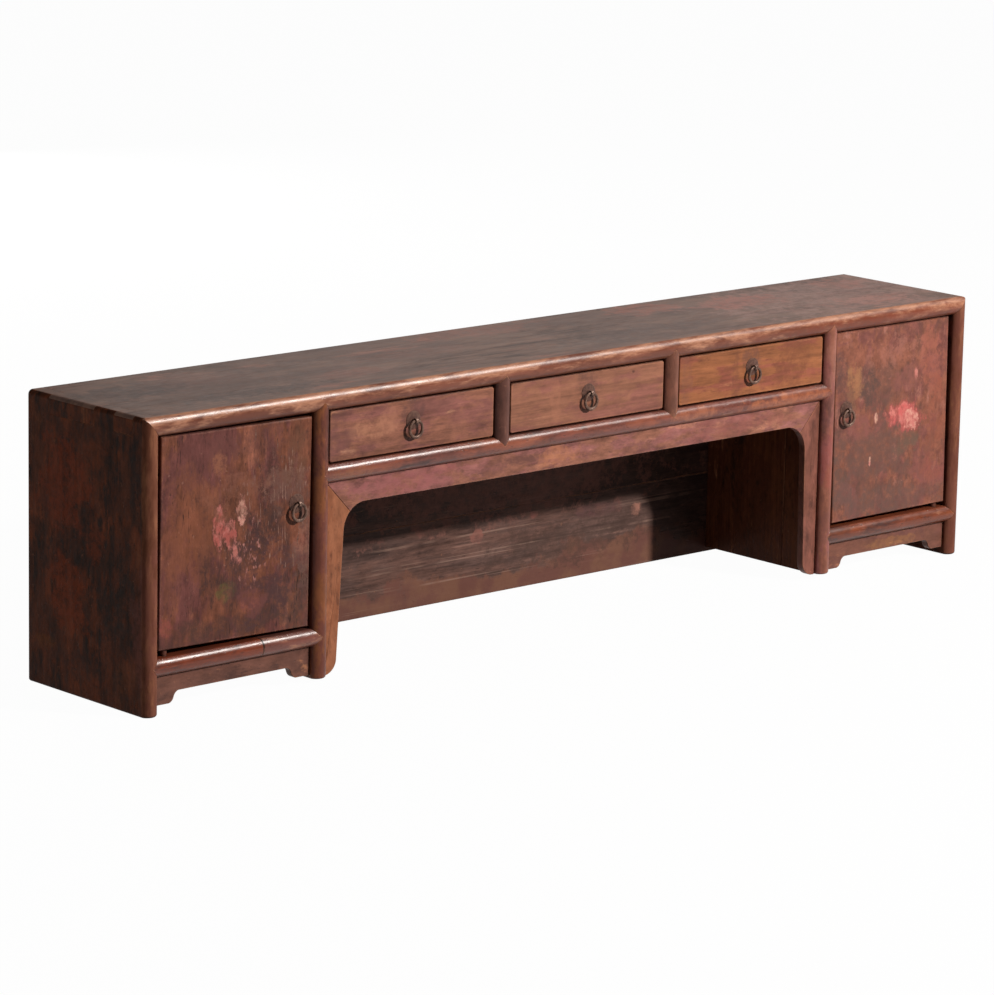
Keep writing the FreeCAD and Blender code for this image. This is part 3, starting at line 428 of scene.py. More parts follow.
def front_edge(tone, second_tone, wood, reach=0.010, worn_and_highlit_crest=None):
    """The rounded front edge of a dark board: lacquered like the frame and worn in streaks. Given a crest
    level, pale wood spreads over its upper side as wear and as a painted highlight.
    """
    def layer(shading, place, space, colour):
        wander = shading.centred(shading.noise(space, 30.0, 5.0, 0.62), 0.014)
        depth = shading.total(shading.axis(place, "Y"), wander)
        mask = shading.step(depth, FRONT + reach - 0.003, FRONT + reach + 0.004, 1.0, 0.0)
        drawn = shading.scaled(space, EDGE_DRAW)
        clouds = shading.noise(drawn, 60.0, 6.0, 0.66)
        edge = shading.mix(shading.step(clouds, 0.45, 0.57), tone, second_tone)
        worn = shading.noise(shading.vector("ADD", drawn, (5.0, 2.0, 3.0)), 70.0, 6.0, 0.68)
        # Pale wood spread over the crest is partly wear and partly a painted highlight on the edge's upper
        # side.
        if worn_and_highlit_crest:
            high = shading.step(shading.axis(place, "Z"), worn_and_highlit_crest - 0.006, worn_and_highlit_crest + 0.004, -0.03, 0.10)
            worn = shading.total(worn, high)
        fine = shading.step(shading.noise(drawn, 260.0, 5.0, 0.7), 0.35, 0.6, 0.5, 0.9)
        edge = shading.mix(shading.product(shading.step(worn, 0.46, 0.66), fine), edge, wood)
        return shading.mix(mask, colour, edge)
    return layer


def pull_grime(owner):
    """Handling marks round a pull."""
    low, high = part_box(f"{owner}_pull_plate")
    middle = (low + high) / 2
    centre = (middle.x, middle.z + PULL_GRIME_RISE)
    return patches((centre, (PULL_GRIME_REACH, PULL_GRIME_REACH), PULL_GRIME, 0.5), ragged=0.6)


def scratches(tone, share):
    """Fine pale lines along the grain."""
    def layer(shading, place, space, colour):
        thin = shading.noise(shading.scaled(space, SCRATCH_RATE), 1.0, 2.0, 0.5)
        broken = shading.step(shading.noise(space, 9.0, 3.0), 0.42, 0.6)
        return shading.mix(shading.product(shading.step(thin, 0.62, 0.66), broken, share), colour, tone)
    return layer


def low_stain(level, tone, second_tone):
    """A damp-stained zone under a wavy line."""
    def layer(shading, place, space, colour):
        wave = shading.centred(shading.noise(space, 7.0, 8.0, 0.68), 0.22)
        height = shading.total(shading.axis(place, "Z"), wave)
        mask = shading.step(height, level - 0.008, level + 0.008, 0.85, 0.0)
        clouds = shading.step(shading.noise(space, 24.0, 5.0, 0.6), 0.4, 0.62)
        return shading.mix(mask, colour, shading.mix(clouds, tone, second_tone))
    return layer


def crack(start, end):
    """A thin open crack along a board's upper face, between two points given by X and Y."""
    slope = (end[1] - start[1]) / (end[0] - start[0])

    def layer(shading, place, space, colour):
        x = shading.axis(place, "X")
        wander = shading.centred(shading.noise(place, 20.0, 3.0), 0.008)
        line = shading.total(shading.product(shading.math("SUBTRACT", x, start[0]), slope), start[1])
        aside = shading.math("SUBTRACT", shading.axis(place, "Y"), shading.total(line, wander))
        width = shading.step(x, start[0], end[0], CRACK_WIDE, CRACK_NARROW)
        beyond = shading.math("SUBTRACT", shading.math("ABSOLUTE", aside), width)
        mask = shading.product(shading.step(beyond, -CRACK_SOFT, CRACK_SOFT, 1.0, 0.0),
                               shading.step(x, end[0] - CRACK_END, end[0], 1.0, 0.0), 0.8)
        return shading.mix(mask, colour, CRACK_DARK)
    return layer


# Finishes of the top and the ends

TOP_MARKS_AND_SHEEN = (
    # A broad pale patch on the right of the top and a darker one on its left are painted sheen, so the top
    # grows lighter to the right.
    patches(((0.62, 0.0), (0.26, 0.16), rgb(184, 138, 127), 0.6),
            ((-0.62, 0.0), (0.22, 0.15), rgb(102, 77, 66), 0.5), view="top", ragged=1.2),
    patches(((0.47, 0.05), (0.09, 0.05), rgb(184, 112, 96), 0.75),
            ((0.31, 0.09), (0.08, 0.04), rgb(176, 104, 86), 0.7),
            ((0.66, -0.06), (0.10, 0.04), rgb(188, 122, 106), 0.6),
            ((0.72, 0.07), (0.05, 0.04), rgb(176, 108, 92), 0.6),
            ((-0.02, 0.10), (0.13, 0.04), rgb(168, 106, 90), 0.6),
            ((-0.20, 0.02), (0.12, 0.03), rgb(152, 104, 90), 0.5),
            ((-0.38, -0.04), (0.07, 0.03), rgb(162, 104, 88), 0.6),
            ((-0.58, 0.05), (0.10, 0.04), rgb(146, 98, 84), 0.5),
            ((0.16, -0.05), (0.18, 0.05), rgb(92, 72, 66), 0.6),
            ((-0.55, -0.07), (0.14, 0.03), rgb(88, 67, 60), 0.7),
            ((-0.70, 0.03), (0.11, 0.05), rgb(88, 67, 60), 0.7),
            ((-0.42, 0.06), (0.12, 0.03), rgb(100, 76, 68), 0.5), view="top"),
    front_edge(rgb(112, 62, 45), rgb(130, 74, 55), rgb(198, 140, 110), worn_and_highlit_crest=TOP - 0.010),
    patches(((0.58, 0.388), (0.24, 0.013), rgb(124, 58, 38), 0.75)),
    crack((-0.8, -0.020), (-0.726, -0.033)))
END_MARKS = (
    patches(((-0.085, 0.150), (0.022, 0.090), rgb(35, 26, 22), 0.8),
            ((-0.050, 0.120), (0.020, 0.060), rgb(36, 26, 22), 0.7),
            ((-0.105, 0.320), (0.018, 0.060), rgb(32, 24, 22), 0.7),
            ((0.050, 0.290), (0.060, 0.080), rgb(136, 63, 39), 0.7),
            ((0.040, 0.140), (0.050, 0.060), rgb(137, 65, 39), 0.75),
            ((-0.020, 0.225), (0.022, 0.036), rgb(140, 71, 47), 0.6),
            ((-0.025, 0.345), (0.030, 0.020), rgb(128, 68, 44), 0.5),
            ((0.010, 0.045), (0.040, 0.022), rgb(41, 29, 25), 0.6),
            ((0.095, 0.215), (0.016, 0.060), rgb(36, 26, 22), 0.7),
            ((-0.085, 0.050), (0.030, 0.025), rgb(128, 77, 54), 0.5),
            ((0.090, 0.065), (0.026, 0.014), rgb(130, 77, 39), 0.5), view="end"),
    front_edge(rgb(107, 64, 48), rgb(125, 78, 60), rgb(156, 103, 76), 0.009),
    patches(((-0.79, 0.10), (0.03, 0.14), rgb(126, 76, 66), 0.6),
            ((0.79, 0.20), (0.03, 0.30), rgb(116, 68, 60), 0.6), depth=0.03))

add_finish("top_board", "X", rgb(140, 104, 88), rgb(126, 94, 82), dark=rgb(92, 70, 62),
           pale=rgb(170, 112, 94), second_share=0.5, dark_share=0.32, pale_share=0.2, patch=0.07, stretch=0.3,
           grain=0.4, mottle=1.4, speckle=0.7, flecks=0.2, dullness=0.35, dents=0.5, edge_share=0.5,
           shine=0.36, layers=TOP_MARKS_AND_SHEEN)
add_finish("end_board", "Z", rgb(112, 59, 37), rgb(88, 48, 32), dark=rgb(38, 26, 22), pale=rgb(124, 75, 51),
           wood=rgb(150, 96, 66), second_share=0.5, dark_share=0.44, pale_share=0.16, patch=0.055, grain=0.7,
           mottle=3.4, speckle=0.8, flecks=0.6, dullness=0.5, edge_share=0.5, shine=0.06, layers=END_MARKS)


# Finishes of the posts, dividers and rails

UPRIGHT = dict(patch=0.04, dullness=0.42, dents=0.6, shine=0.2, flecks=0.4, mottle=1.3)
BAR = dict(dark=rgb(72, 44, 40), pale=rgb(178, 122, 96), patch=0.03, stretch=0.35, dullness=0.31, dents=0.8,
           shine=0.42, flecks=0.5, mottle=1.1, speckle=0.5)
LEFT_BAR = BAR | dict(dullness=0.33)
RIGHT_POST_MARKS = patches(((0.500, 0.190), (0.020, 0.060), rgb(158, 82, 74), 0.5),
                           ((0.494, 0.235), (0.008, 0.040), rgb(88, 60, 60), 0.5),
                           ((0.504, 0.330), (0.020, 0.040), rgb(168, 112, 96), 0.5),
                           ((0.500, 0.080), (0.020, 0.040), rgb(124, 78, 72), 0.5))
DRAWER_RAIL_MARKS = patches(((-0.44, 0.286), (0.04, 0.014), rgb(156, 98, 68), 0.6),
                            ((0.22, 0.290), (0.06, 0.012), rgb(172, 106, 78), 0.75),
                            ((0.40, 0.289), (0.10, 0.014), rgb(178, 106, 72), 0.8))
SPLICE_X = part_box("left_base_rail_splice")[0].x
SPLICE_LINE = patches(((SPLICE_X, 0.066), (0.0022, 0.03), rgb(40, 24, 20), 0.95), ragged=0.25)

add_finish("left_inner_post", "Z", rgb(133, 79, 50), rgb(112, 63, 51), dark=rgb(66, 40, 34),
           pale=rgb(158, 100, 70), dark_share=0.28, **UPRIGHT)
add_finish("right_inner_post", "Z", rgb(146, 91, 74), rgb(152, 92, 86), dark=rgb(110, 70, 62),
           pale=rgb(172, 120, 102), dark_share=0.22, speckle=0.7, layers=(RIGHT_POST_MARKS,), **UPRIGHT)
add_finish("left_drawer_divider", "Z", rgb(100, 64, 55), rgb(90, 57, 49), dark=rgb(72, 48, 42),
           pale=rgb(138, 94, 76), dark_share=0.25, **UPRIGHT)
add_finish("right_drawer_divider", "Z", rgb(132, 84, 68), rgb(118, 76, 62), dark=rgb(84, 56, 48),
           pale=rgb(166, 114, 88), dark_share=0.25, **UPRIGHT)
add_finish("drawer_rail", "X", rgb(124, 71, 60), rgb(142, 80, 60), dark_share=0.3, pale_share=0.15,
           layers=(DRAWER_RAIL_MARKS,), **BAR)
add_finish("left_base_rail", "X", rgb(124, 58, 36), rgb(112, 54, 36), dark_share=0.25, pale_share=0.1,
           layers=(SPLICE_LINE,), **LEFT_BAR)
add_finish("left_base_rail_splice", "X", rgb(126, 74, 63), rgb(114, 67, 57), dark_share=0.25, pale_share=0.2,
           layers=(SPLICE_LINE,), **LEFT_BAR)
add_finish("right_base_rail", "X", rgb(118, 60, 40), rgb(132, 70, 44), dark_share=0.3, pale_share=0.15, **BAR)


# Finishes of the aprons

APRON_MARKS = patches(((-0.33, 0.262), (0.11, 0.018), rgb(164, 98, 98), 0.65),
                      ((-0.17, 0.256), (0.03, 0.012), rgb(118, 76, 70), 0.6),
                      ((-0.05, 0.262), (0.05, 0.014), rgb(186, 122, 88), 0.6),
                      ((0.10, 0.252), (0.04, 0.010), rgb(112, 72, 66), 0.6),
                      ((0.30, 0.262), (0.14, 0.018), rgb(148, 88, 80), 0.6))
RIGHT_BASE_MARKS = patches(((0.66, 0.036), (0.07, 0.010), rgb(154, 106, 70), 0.6))
SMALL_APRON = dict(patch=0.03, mottle=1.2)

add_finish("center_apron", "X", rgb(150, 97, 91), rgb(145, 96, 79), dark=rgb(112, 74, 67),
           pale=rgb(178, 120, 98), wood=rgb(172, 116, 96), pale_share=0.2, stretch=0.4, dark_share=0.26,
           patch=0.028, mottle=2.4, speckle=0.7, flecks=0.6, layers=(APRON_MARKS,))
add_finish("left_apron_leg", "Z", rgb(160, 102, 74), rgb(146, 90, 64), dark=rgb(108, 68, 52),
           pale=rgb(178, 120, 88), dark_share=0.12, **SMALL_APRON)
add_finish("right_apron_leg", "Z", rgb(140, 88, 75), rgb(124, 77, 64), dark=rgb(92, 58, 50),
           pale=rgb(178, 118, 100), pale_share=0.15, dark_share=0.3, **SMALL_APRON)
add_finish("left_base_apron", "X", rgb(122, 82, 70), rgb(110, 74, 64), dark=rgb(84, 58, 52), dark_share=0.25,
           **SMALL_APRON)
add_finish("right_base_apron", "X", rgb(122, 79, 66), rgb(113, 73, 65), dark=rgb(92, 62, 52), dark_share=0.2,
           layers=(RIGHT_BASE_MARKS,), **SMALL_APRON)


# Finishes of the doors

PINK, PALE_PINK, ROSE = rgb(206, 128, 118), rgb(224, 168, 150), rgb(186, 88, 86)
CREAM, OCHRE, MOSS = rgb(206, 160, 138), rgb(168, 116, 82), rgb(96, 92, 54)
PLUM, UMBER = rgb(84, 60, 58), rgb(78, 50, 42)

LEFT_DOOR_MARKS = on_face(
    "left_door_panel",
    patches(((-0.700, 0.335), (0.080, 0.045), rgb(112, 68, 64), 0.5),
            ((-0.610, 0.350), (0.070, 0.022), rgb(106, 66, 60), 0.5),
            ((-0.750, 0.180), (0.030, 0.080), rgb(116, 70, 66), 0.45),
            ((-0.545, 0.120), (0.050, 0.060), rgb(84, 64, 57), 0.6), ragged=1.4),
    patches(((-0.578, 0.290), (0.034, 0.045), rgb(74, 48, 43), 0.8),
            ((-0.606, 0.205), (0.026, 0.050), rgb(70, 48, 45), 0.85),
            ((-0.585, 0.135), (0.045, 0.055), rgb(74, 51, 47), 0.8),
            ((-0.690, 0.205), (0.018, 0.028), rgb(80, 52, 46), 0.6),
            ((-0.640, 0.104), (0.10, 0.018), rgb(82, 56, 50), 0.7),
            ((-0.735, 0.100), (0.06, 0.022), rgb(84, 56, 48), 0.6),
            ((-0.535, 0.330), (0.022, 0.060), rgb(108, 74, 58), 0.6),
            ((-0.668, 0.325), (0.014, 0.020), rgb(156, 100, 76), 0.7),
            ((-0.715, 0.250), (0.050, 0.075), rgb(134, 80, 58), 0.6),
            ((-0.662, 0.152), (0.020, 0.016), MOSS, 0.55),
            ((-0.760, 0.115), (0.016, 0.020), rgb(158, 84, 74), 0.7),
            ((-0.612, 0.132), (0.026, 0.020), rgb(148, 86, 76), 0.7),
            ((-0.528, 0.206), (0.016, 0.020), rgb(164, 102, 84), 0.6)),
    flaked_paint(((-0.668, 0.246), (0.013, 0.030), (PINK, rgb(190, 100, 92)), UMBER),
                 ((-0.650, 0.228), (0.012, 0.022), (PINK, rgb(182, 96, 88)), UMBER),
                 ((-0.630, 0.256), (0.008, 0.028), (PALE_PINK, PINK), UMBER),
                 ((-0.640, 0.196), (0.012, 0.018), (PINK, rgb(176, 104, 92)), PLUM)),
    patches(((-0.560, 0.285), (0.040, 0.035), rgb(146, 106, 92), 0.38),
            ((-0.585, 0.235), (0.045, 0.030), rgb(64, 44, 42), 0.6),
            ((-0.640, 0.285), (0.050, 0.024), rgb(140, 90, 72), 0.5),
            ((-0.520, 0.190), (0.020, 0.045), rgb(142, 104, 90), 0.45),
            ((-0.590, 0.160), (0.060, 0.050), rgb(84, 54, 56), 0.55), ragged=1.8),
    ticks(rgb(46, 31, 29), 0.9),
    ticks(rgb(166, 126, 110), 0.85, ((-0.575, 0.255), (0.080, 0.110))),
    ticks(rgb(190, 128, 118), 0.9, ((-0.606, 0.200), (0.046, 0.050)), (90.0, 210.0)),
    pull_grime("left_door"))
RIGHT_DOOR_MARKS = on_face(
    "right_door_panel",
    patches(((0.590, 0.165), (0.120, 0.110), rgb(104, 73, 64), 0.7),
            ((0.556, 0.116), (0.024, 0.036), rgb(150, 92, 88), 0.55), ragged=1.5),
    patches(((0.632, 0.290), (0.070, 0.056), rgb(110, 78, 68), 0.55),
            ((0.630, 0.186), (0.115, 0.058), rgb(106, 77, 69), 0.6),
            ((0.690, 0.198), (0.034, 0.034), rgb(104, 86, 70), 0.5),
            ((0.532, 0.125), (0.036, 0.056), rgb(100, 76, 68), 0.65),
            ((0.650, 0.106), (0.18, 0.028), rgb(104, 78, 71), 0.65),
            ((0.529, 0.314), (0.018, 0.030), rgb(86, 64, 62), 0.7),
            ((0.590, 0.284), (0.024, 0.034), rgb(86, 66, 61), 0.7),
            ((0.560, 0.296), (0.015, 0.040), OCHRE, 0.8),
            ((0.646, 0.332), (0.060, 0.024), rgb(170, 110, 95), 0.6),
            ((0.672, 0.290), (0.024, 0.036), rgb(154, 92, 84), 0.45),
            ((0.735, 0.310), (0.030, 0.060), rgb(168, 98, 82), 0.6),
            ((0.580, 0.228), (0.040, 0.024), rgb(156, 90, 83), 0.55),
            ((0.733, 0.138), (0.046, 0.026), rgb(156, 88, 80), 0.5),
            ((0.744, 0.215), (0.030, 0.090), rgb(146, 82, 64), 0.5), ragged=1.2),
    flaked_paint(((0.672, 0.236), (0.030, 0.020), (rgb(212, 104, 100), rgb(216, 130, 120)), ROSE),
                 ((0.690, 0.226), (0.020, 0.014), (PALE_PINK, PINK), ROSE),
                 ((0.697, 0.298), (0.004, 0.010), (CREAM, PINK), rgb(146, 88, 80)),
                 ((0.611, 0.236), (0.004, 0.008), (CREAM, PALE_PINK), rgb(140, 80, 74)),
                 ((0.630, 0.240), (0.006, 0.004), (PINK, rgb(176, 104, 92)), rgb(140, 80, 74)),
                 ((0.600, 0.168), (0.003, 0.009), (CREAM, PINK), rgb(112, 78, 70))),
    pull_grime("right_door"))

add_finish("left_door_panel", "Z", rgb(122, 73, 55), rgb(107, 63, 58), dark=rgb(74, 49, 44),
           pale=rgb(148, 92, 72), wood=rgb(172, 124, 106), pale_share=0.14, dark_share=0.26, flecks=0.7,
           mottle=2.3, speckle=1.3, patch=0.045, grain=0.4, edge_reach=0.006, edge_share=1.4,
           layers=(LEFT_DOOR_MARKS,))
add_finish("right_door_panel", "Z", rgb(139, 86, 69), rgb(125, 76, 68), dark=rgb(96, 66, 58),
           pale=rgb(158, 106, 92), wood=rgb(186, 134, 114), pale_share=0.18, dark_share=0.28, flecks=0.4,
           mottle=1.7, speckle=0.9, patch=0.035, stretch=0.85, grain=0.14, edge_reach=0.006, edge_share=1.3,
           layers=(RIGHT_DOOR_MARKS,))


# Finishes of the drawer fronts

DRAWER = dict(patch=0.035, stretch=0.35, grain=0.7, flecks=0.2, mottle=1.0, speckle=0.5, dark_share=0.1,
              dents=0.6, shine=0.2, edge_reach=0.006, edge_share=1.4)
LEFT_DRAWER_MARKS = patches(((-0.405, 0.342), (0.045, 0.016), rgb(188, 130, 102), 0.65),
                            ((-0.372, 0.352), (0.020, 0.020), rgb(176, 118, 96), 0.6),
                            ((-0.462, 0.338), (0.026, 0.034), rgb(114, 74, 68), 0.6),
                            ((-0.300, 0.366), (0.05, 0.010), rgb(128, 84, 74), 0.5),
                            ((-0.240, 0.335), (0.03, 0.014), rgb(154, 100, 84), 0.5))
CENTER_DRAWER_MARKS = patches(((0.092, 0.368), (0.006, 0.005), rgb(70, 44, 40), 0.9),
                              ((-0.060, 0.340), (0.012, 0.040), rgb(172, 114, 90), 0.5),
                              ((0.060, 0.342), (0.010, 0.045), rgb(134, 86, 74), 0.45))
RIGHT_DRAWER_MARKS = patches(((0.303, 0.34), (0.009, 0.05), rgb(112, 68, 54), 0.5),
                             ((0.425, 0.34), (0.044, 0.05), rgb(122, 72, 52), 0.6),
                             ((0.20, 0.34), (0.012, 0.05), rgb(128, 84, 70), 0.4))

add_finish("left_drawer_front", "X", rgb(147, 96, 78), rgb(133, 84, 76), dark=rgb(98, 66, 58),
           pale=rgb(182, 130, 104), layers=(LEFT_DRAWER_MARKS, pull_grime("left_drawer")),
           **DRAWER | dict(mottle=1.7, speckle=0.8))
add_finish("center_drawer_front", "X", rgb(150, 100, 79), rgb(140, 89, 77), dark=rgb(110, 72, 62),
           pale=rgb(180, 126, 98), layers=(CENTER_DRAWER_MARKS, pull_grime("center_drawer")), **DRAWER)
add_finish("right_drawer_front", "X", rgb(151, 94, 62), rgb(137, 78, 61), dark=rgb(104, 62, 46),
           pale=rgb(172, 114, 82), layers=(RIGHT_DRAWER_MARKS, pull_grime("right_drawer")), **DRAWER)


# Finishes of the back and the inside

BARE = dict(tone=rgb(146, 108, 80), second_tone=rgb(132, 96, 70), dark_share=0.1, grain=0.5)
BACK_MARKS_AND_LIGHT = (
    low_stain(0.045, rgb(114, 75, 66), rgb(126, 87, 71)),
    scratches(rgb(160, 128, 114), 0.55),
    on_face("back_board_middle",
            patches(((0.010, 0.091), (0.015, 0.011), rgb(148, 96, 86), 0.75),
                    ((0.123, 0.109), (0.012, 0.009), rgb(140, 88, 80), 0.75),
                    ((0.337, 0.089), (0.010, 0.014), rgb(172, 120, 104), 0.8),
                    ((0.25, 0.100), (0.05, 0.012), rgb(112, 76, 76), 0.5),
                    # A lighter warm band high on the inner back, where the apron's shadow falls, is painted
                    # light.
                    ((0.06, 0.160), (0.36, 0.050), rgb(138, 94, 84), 0.85),
                    ((0.20, 0.060), (0.17, 0.036), rgb(76, 59, 53), 0.6), ragged=1.2)))

add_finish("back_board", "X", rgb(94, 72, 66), rgb(102, 75, 67), dark=rgb(58, 45, 42), pale=rgb(126, 94, 84),
           pale_share=0.15, dark_share=0.36, patch=0.06, stretch=0.26, grain=0.9, mottle=2.0, speckle=1.0,
           shine=0.08, layers=BACK_MARKS_AND_LIGHT)
add_finish("partition", "Z", rgb(108, 62, 44), rgb(122, 72, 48), dark=rgb(58, 38, 30), dark_share=0.25,
           grain=0.6, edge_share=0.3, shine=0.08)
add_finish("pivots", "Z", rgb(104, 62, 50), rgb(94, 56, 46), dark=rgb(70, 46, 40))
add_finish("bare_long", "X", **BARE)
add_finish("bare_deep", "Y", **BARE)

DEEP_PIECES = ("drawer_sides", "drawer_guides")
SHARED_FINISHES = ("end_board", "back_board", "partition", "pivots")


def finish_of(node):
    """The finish of a wooden node: its own, one that its kind of piece shares, or bare wood."""
    if node in FINISHES:
        return FINISHES[node]
    if node.endswith(DEEP_PIECES):
        return FINISHES["bare_deep"]
    return FINISHES[next((kind for kind in SHARED_FINISHES if kind in node), "bare_long")]


# Finish of the pulls

METAL_DENT_DEPTH = 0.0003
METAL_EDGE_REACH = 0.0012


def make_brass(name, tone, second_tone, rubbed):
    """Old brass under a dull patina, bright only where it is handled."""
    material, shading, surface = new_material(name)
    place = shading.add("ShaderNodeTexCoord").outputs["Object"]
    clouds = shading.noise(place, 260.0, 5.0, 0.6)
    colour = shading.mix(shading.step(clouds, 0.42, 0.58), tone, second_tone)
    worn = shading.group(WORN_EDGES, place=place, reach=METAL_EDGE_REACH, share=0.8)["Mask"]
    colour = shading.mix(shading.product(worn, 0.7), colour, rubbed)
    rough = shading.total(0.48, shading.centred(clouds, 0.3))
    dents = shading.total(shading.noise(place, 340.0, 2.0), shading.product(clouds, 0.5))
    finish_surface(shading, surface, colour, rough, dents, METAL_DENT_DEPTH)
    surface.inputs["Metallic"].default_value = 0.3
    surface.inputs["Specular IOR Level"].default_value = 0.3
    return material


PLATE_BRASS = make_brass("plate_brass", rgb(112, 80, 68), rgb(92, 64, 56), rgb(156, 124, 106))
RING_BRASS = make_brass("ring_brass", rgb(128, 98, 84), rgb(96, 72, 62), rgb(178, 148, 128))


# Boards, bars and panels

WELD = 1e-6
FLAT = math.radians(0.5)
SHARP = math.radians(28)
EASED_EDGE = 0.0004
APRON_EASED_EDGE = 0.001
METAL_EASED_EDGE = 0.00035
EASE_SEGMENTS = 2
FOOT_WEAR = 0.0035
FOOT_SEGMENTS = 3
SEAM_BEHIND_FRONT = 0.0815
PARTITION_SEAM = FRONT + SEAM_BEHIND_FRONT
BOARD_STEPS = ((1.37, 7), (2.11, 5), (0.73, 3))
METAL_ENDINGS = ("_ring", "_pull_eye", "_pull_plate")


def solid_of(node, half=None):
    """A node's own solid with its flat faces whole. Half keeps the faces on one side of a plane."""
    shape = bmesh.new()
    shape.from_mesh(frame["nodes"][node].data)
    if half:
        plane, side = half
        away = [face for face in shape.faces if (face.calc_center_median().y - plane) * side < 0]
        bmesh.ops.delete(shape, geom=away, context="FACES")
    bmesh.ops.remove_doubles(shape, verts=shape.verts, dist=WELD)
    bmesh.ops.dissolve_limit(shape, angle_limit=FLAT, verts=shape.verts, edges=shape.edges)
    return shape


def bevel(shape, edges, width, segments):
    bmesh.ops.bevel(shape, geom=edges, offset=width, offset_type="OFFSET", segments=segments, profile=0.5,
                    affect="EDGES", material=-1, clamp_overlap=False)


def ease_edges(shape, width):
    sharp = [edge for edge in shape.edges if edge.is_manifold and edge.calc_face_angle() > SHARP]
    bevel(shape, sharp, width, EASE_SEGMENTS)


def round_foot(shape):
    """Wear the lower edges of a foot round."""
    level = min(vertex.co.z for vertex in shape.verts) + WELD
    lowest = [edge for edge in shape.edges if all(vertex.co.z < level for vertex in edge.verts)]
    bevel(shape, lowest, FOOT_WEAR, FOOT_SEGMENTS)


def mesh_of(name, shape):
    mesh = bpy.data.meshes.new(name)
    shape.to_mesh(mesh)
    shape.free()
    return mesh


def new_object(name, data):
    item = bpy.data.objects.new(name, data)
    bpy.context.scene.collection.objects.link(item)
    return item


def finished_piece(name, shape, material, node):
    """Turn a shape into a piece that stands for a node and moves with it."""
    mesh = mesh_of(name, shape)
    mesh.materials.append(material)
    mesh.polygons.foreach_set("use_smooth", [True] * len(mesh.polygons))
    piece = new_object(name, mesh)
    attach(piece, BODY_OF[node])
    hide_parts(node)
    return piece


def even_shading(piece):
    piece.modifiers.new("even_shading", "WEIGHTED_NORMAL").keep_sharp = True


def mark_board(piece, index):
    """Give a board its own stretch of pattern."""
    shift = [index * step % span for step, span in BOARD_STEPS]
    marks = piece.data.attributes.new("board_shift", "FLOAT_VECTOR", "POINT")
    marks.data.foreach_set("vector", shift * len(piece.data.vertices))


def blend_fingers(piece, node):
    """Give the ends of the corner fingers the finish of the face that they come out in."""
    axis, level, finish = ("x", SIDE, "end_board") if node == "top_board" else ("z", TOP, "top_board")
    piece.data.materials.append(FINISHES[finish])
    for face in piece.data.polygons:
        if abs(getattr(face.center, axis)) > level - EASED_EDGE:
            face.material_index = 1


def age_board(node, index):
    """Ease and wear a board's edges. A partition is two boards, each a piece of its own."""
    width = APRON_EASED_EDGE if "apron" in node else EASED_EDGE
    halves = {"": None}
    if node.endswith("_partition"):
        halves = {"_front": (PARTITION_SEAM, -1), "_back": (PARTITION_SEAM, 1)}
    for suffix, half in halves.items():
        shape = solid_of(node, half)
        if node.endswith(("_end_board", "_inner_post")):
            round_foot(shape)
        ease_edges(shape, width)
        piece = finished_piece(f"aged_{node}{suffix}", shape, finish_of(node), node)
        if node == "top_board" or node.endswith("_end_board"):
            blend_fingers(piece, node)
        even_shading(piece)
        mark_board(piece, index)


wooden = [node for node in sorted(frame["nodes"]) if not node.endswith(METAL_ENDINGS)]
for index, node in enumerate(wooden):
    age_board(node, index)


# Ring pulls

ROUND_STEPS = 72
WIRE_STEPS = 18
WIRE_WEAR = 0.06
WIRE_SWELL = 0.3
WIRE_UNEVENNESS = 130
PLATE_DENT = 0.00016
PLATE_UNEVENNESS = 300
PLATE_RIM = 0.3
HOLE_RADIUS = 0.0019
HOLE_RISE = 0.96
DOME = ((0.2, 1.0), (0.4, 0.93), (0.6, 0.78), (0.8, 0.57), (0.93, 0.40), (0.985, 0.33), (1.0, 0.2),
        (0.985, 0))


def spin_round(shape, outline, centre):
    """Spin an outline a full turn about a line from front to back."""
    bmesh.ops.spin(shape, geom=outline, cent=centre, axis=(0, 1, 0), angle=FULL_TURN, steps=ROUND_STEPS,
                   use_merge=True)
    bmesh.ops.recalc_face_normals(shape, faces=shape.faces)


def forged_ring(node):
    """A ring of hand-forged wire, never quite even, and thinnest where it hangs in the eye."""
    low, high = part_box(node)
    centre, wire = (low + high) / 2, (high.y - low.y) / 2
    radius = (high.x - low.x) / 2 - wire
    shape = bmesh.new()
    start = Matrix.Translation(centre + Vector((radius, 0, 0)))
    bmesh.ops.create_circle(shape, segments=WIRE_STEPS, radius=wire, matrix=start)
    spin_round(shape, shape.verts[:] + shape.edges[:], centre)
    for vertex in shape.verts:
        spoke = vertex.co - centre
        spoke.y = 0
        core = centre + spoke.normalized() * radius
        low_share = 0.5 - 0.5 * spoke.normalized().z
        uneven = 0.5 + 0.5 * noise.noise(core * WIRE_UNEVENNESS)
        vertex.co = core + (vertex.co - core) * (1 + WIRE_SWELL * low_share - WIRE_WEAR * uneven)
    return shape


def beaten_plate(node):
    """A round plate, beaten to a low dome over its hole."""
    low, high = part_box(node)
    centre = Vector(((low.x + high.x) / 2, high.y, (low.z + high.z) / 2))
    radius, dome = (high.x - low.x) / 2, high.y - low.y
    section = [(HOLE_RADIUS, 0), (HOLE_RADIUS, HOLE_RISE)] + [(out * radius, rise) for out, rise in DOME]
    shape = bmesh.new()
    line = [shape.verts.new(centre + Vector((out, -rise * dome, 0))) for out, rise in section]
    edges = [shape.edges.new(pair) for pair in zip(line, line[1:])]
    spin_round(shape, line + edges, centre)
    for vertex in shape.verts:
        if vertex.co.y < centre.y - PLATE_RIM * dome:
            vertex.co.y += PLATE_DENT * (1 + noise.noise(vertex.co * PLATE_UNEVENNESS))
    return shape


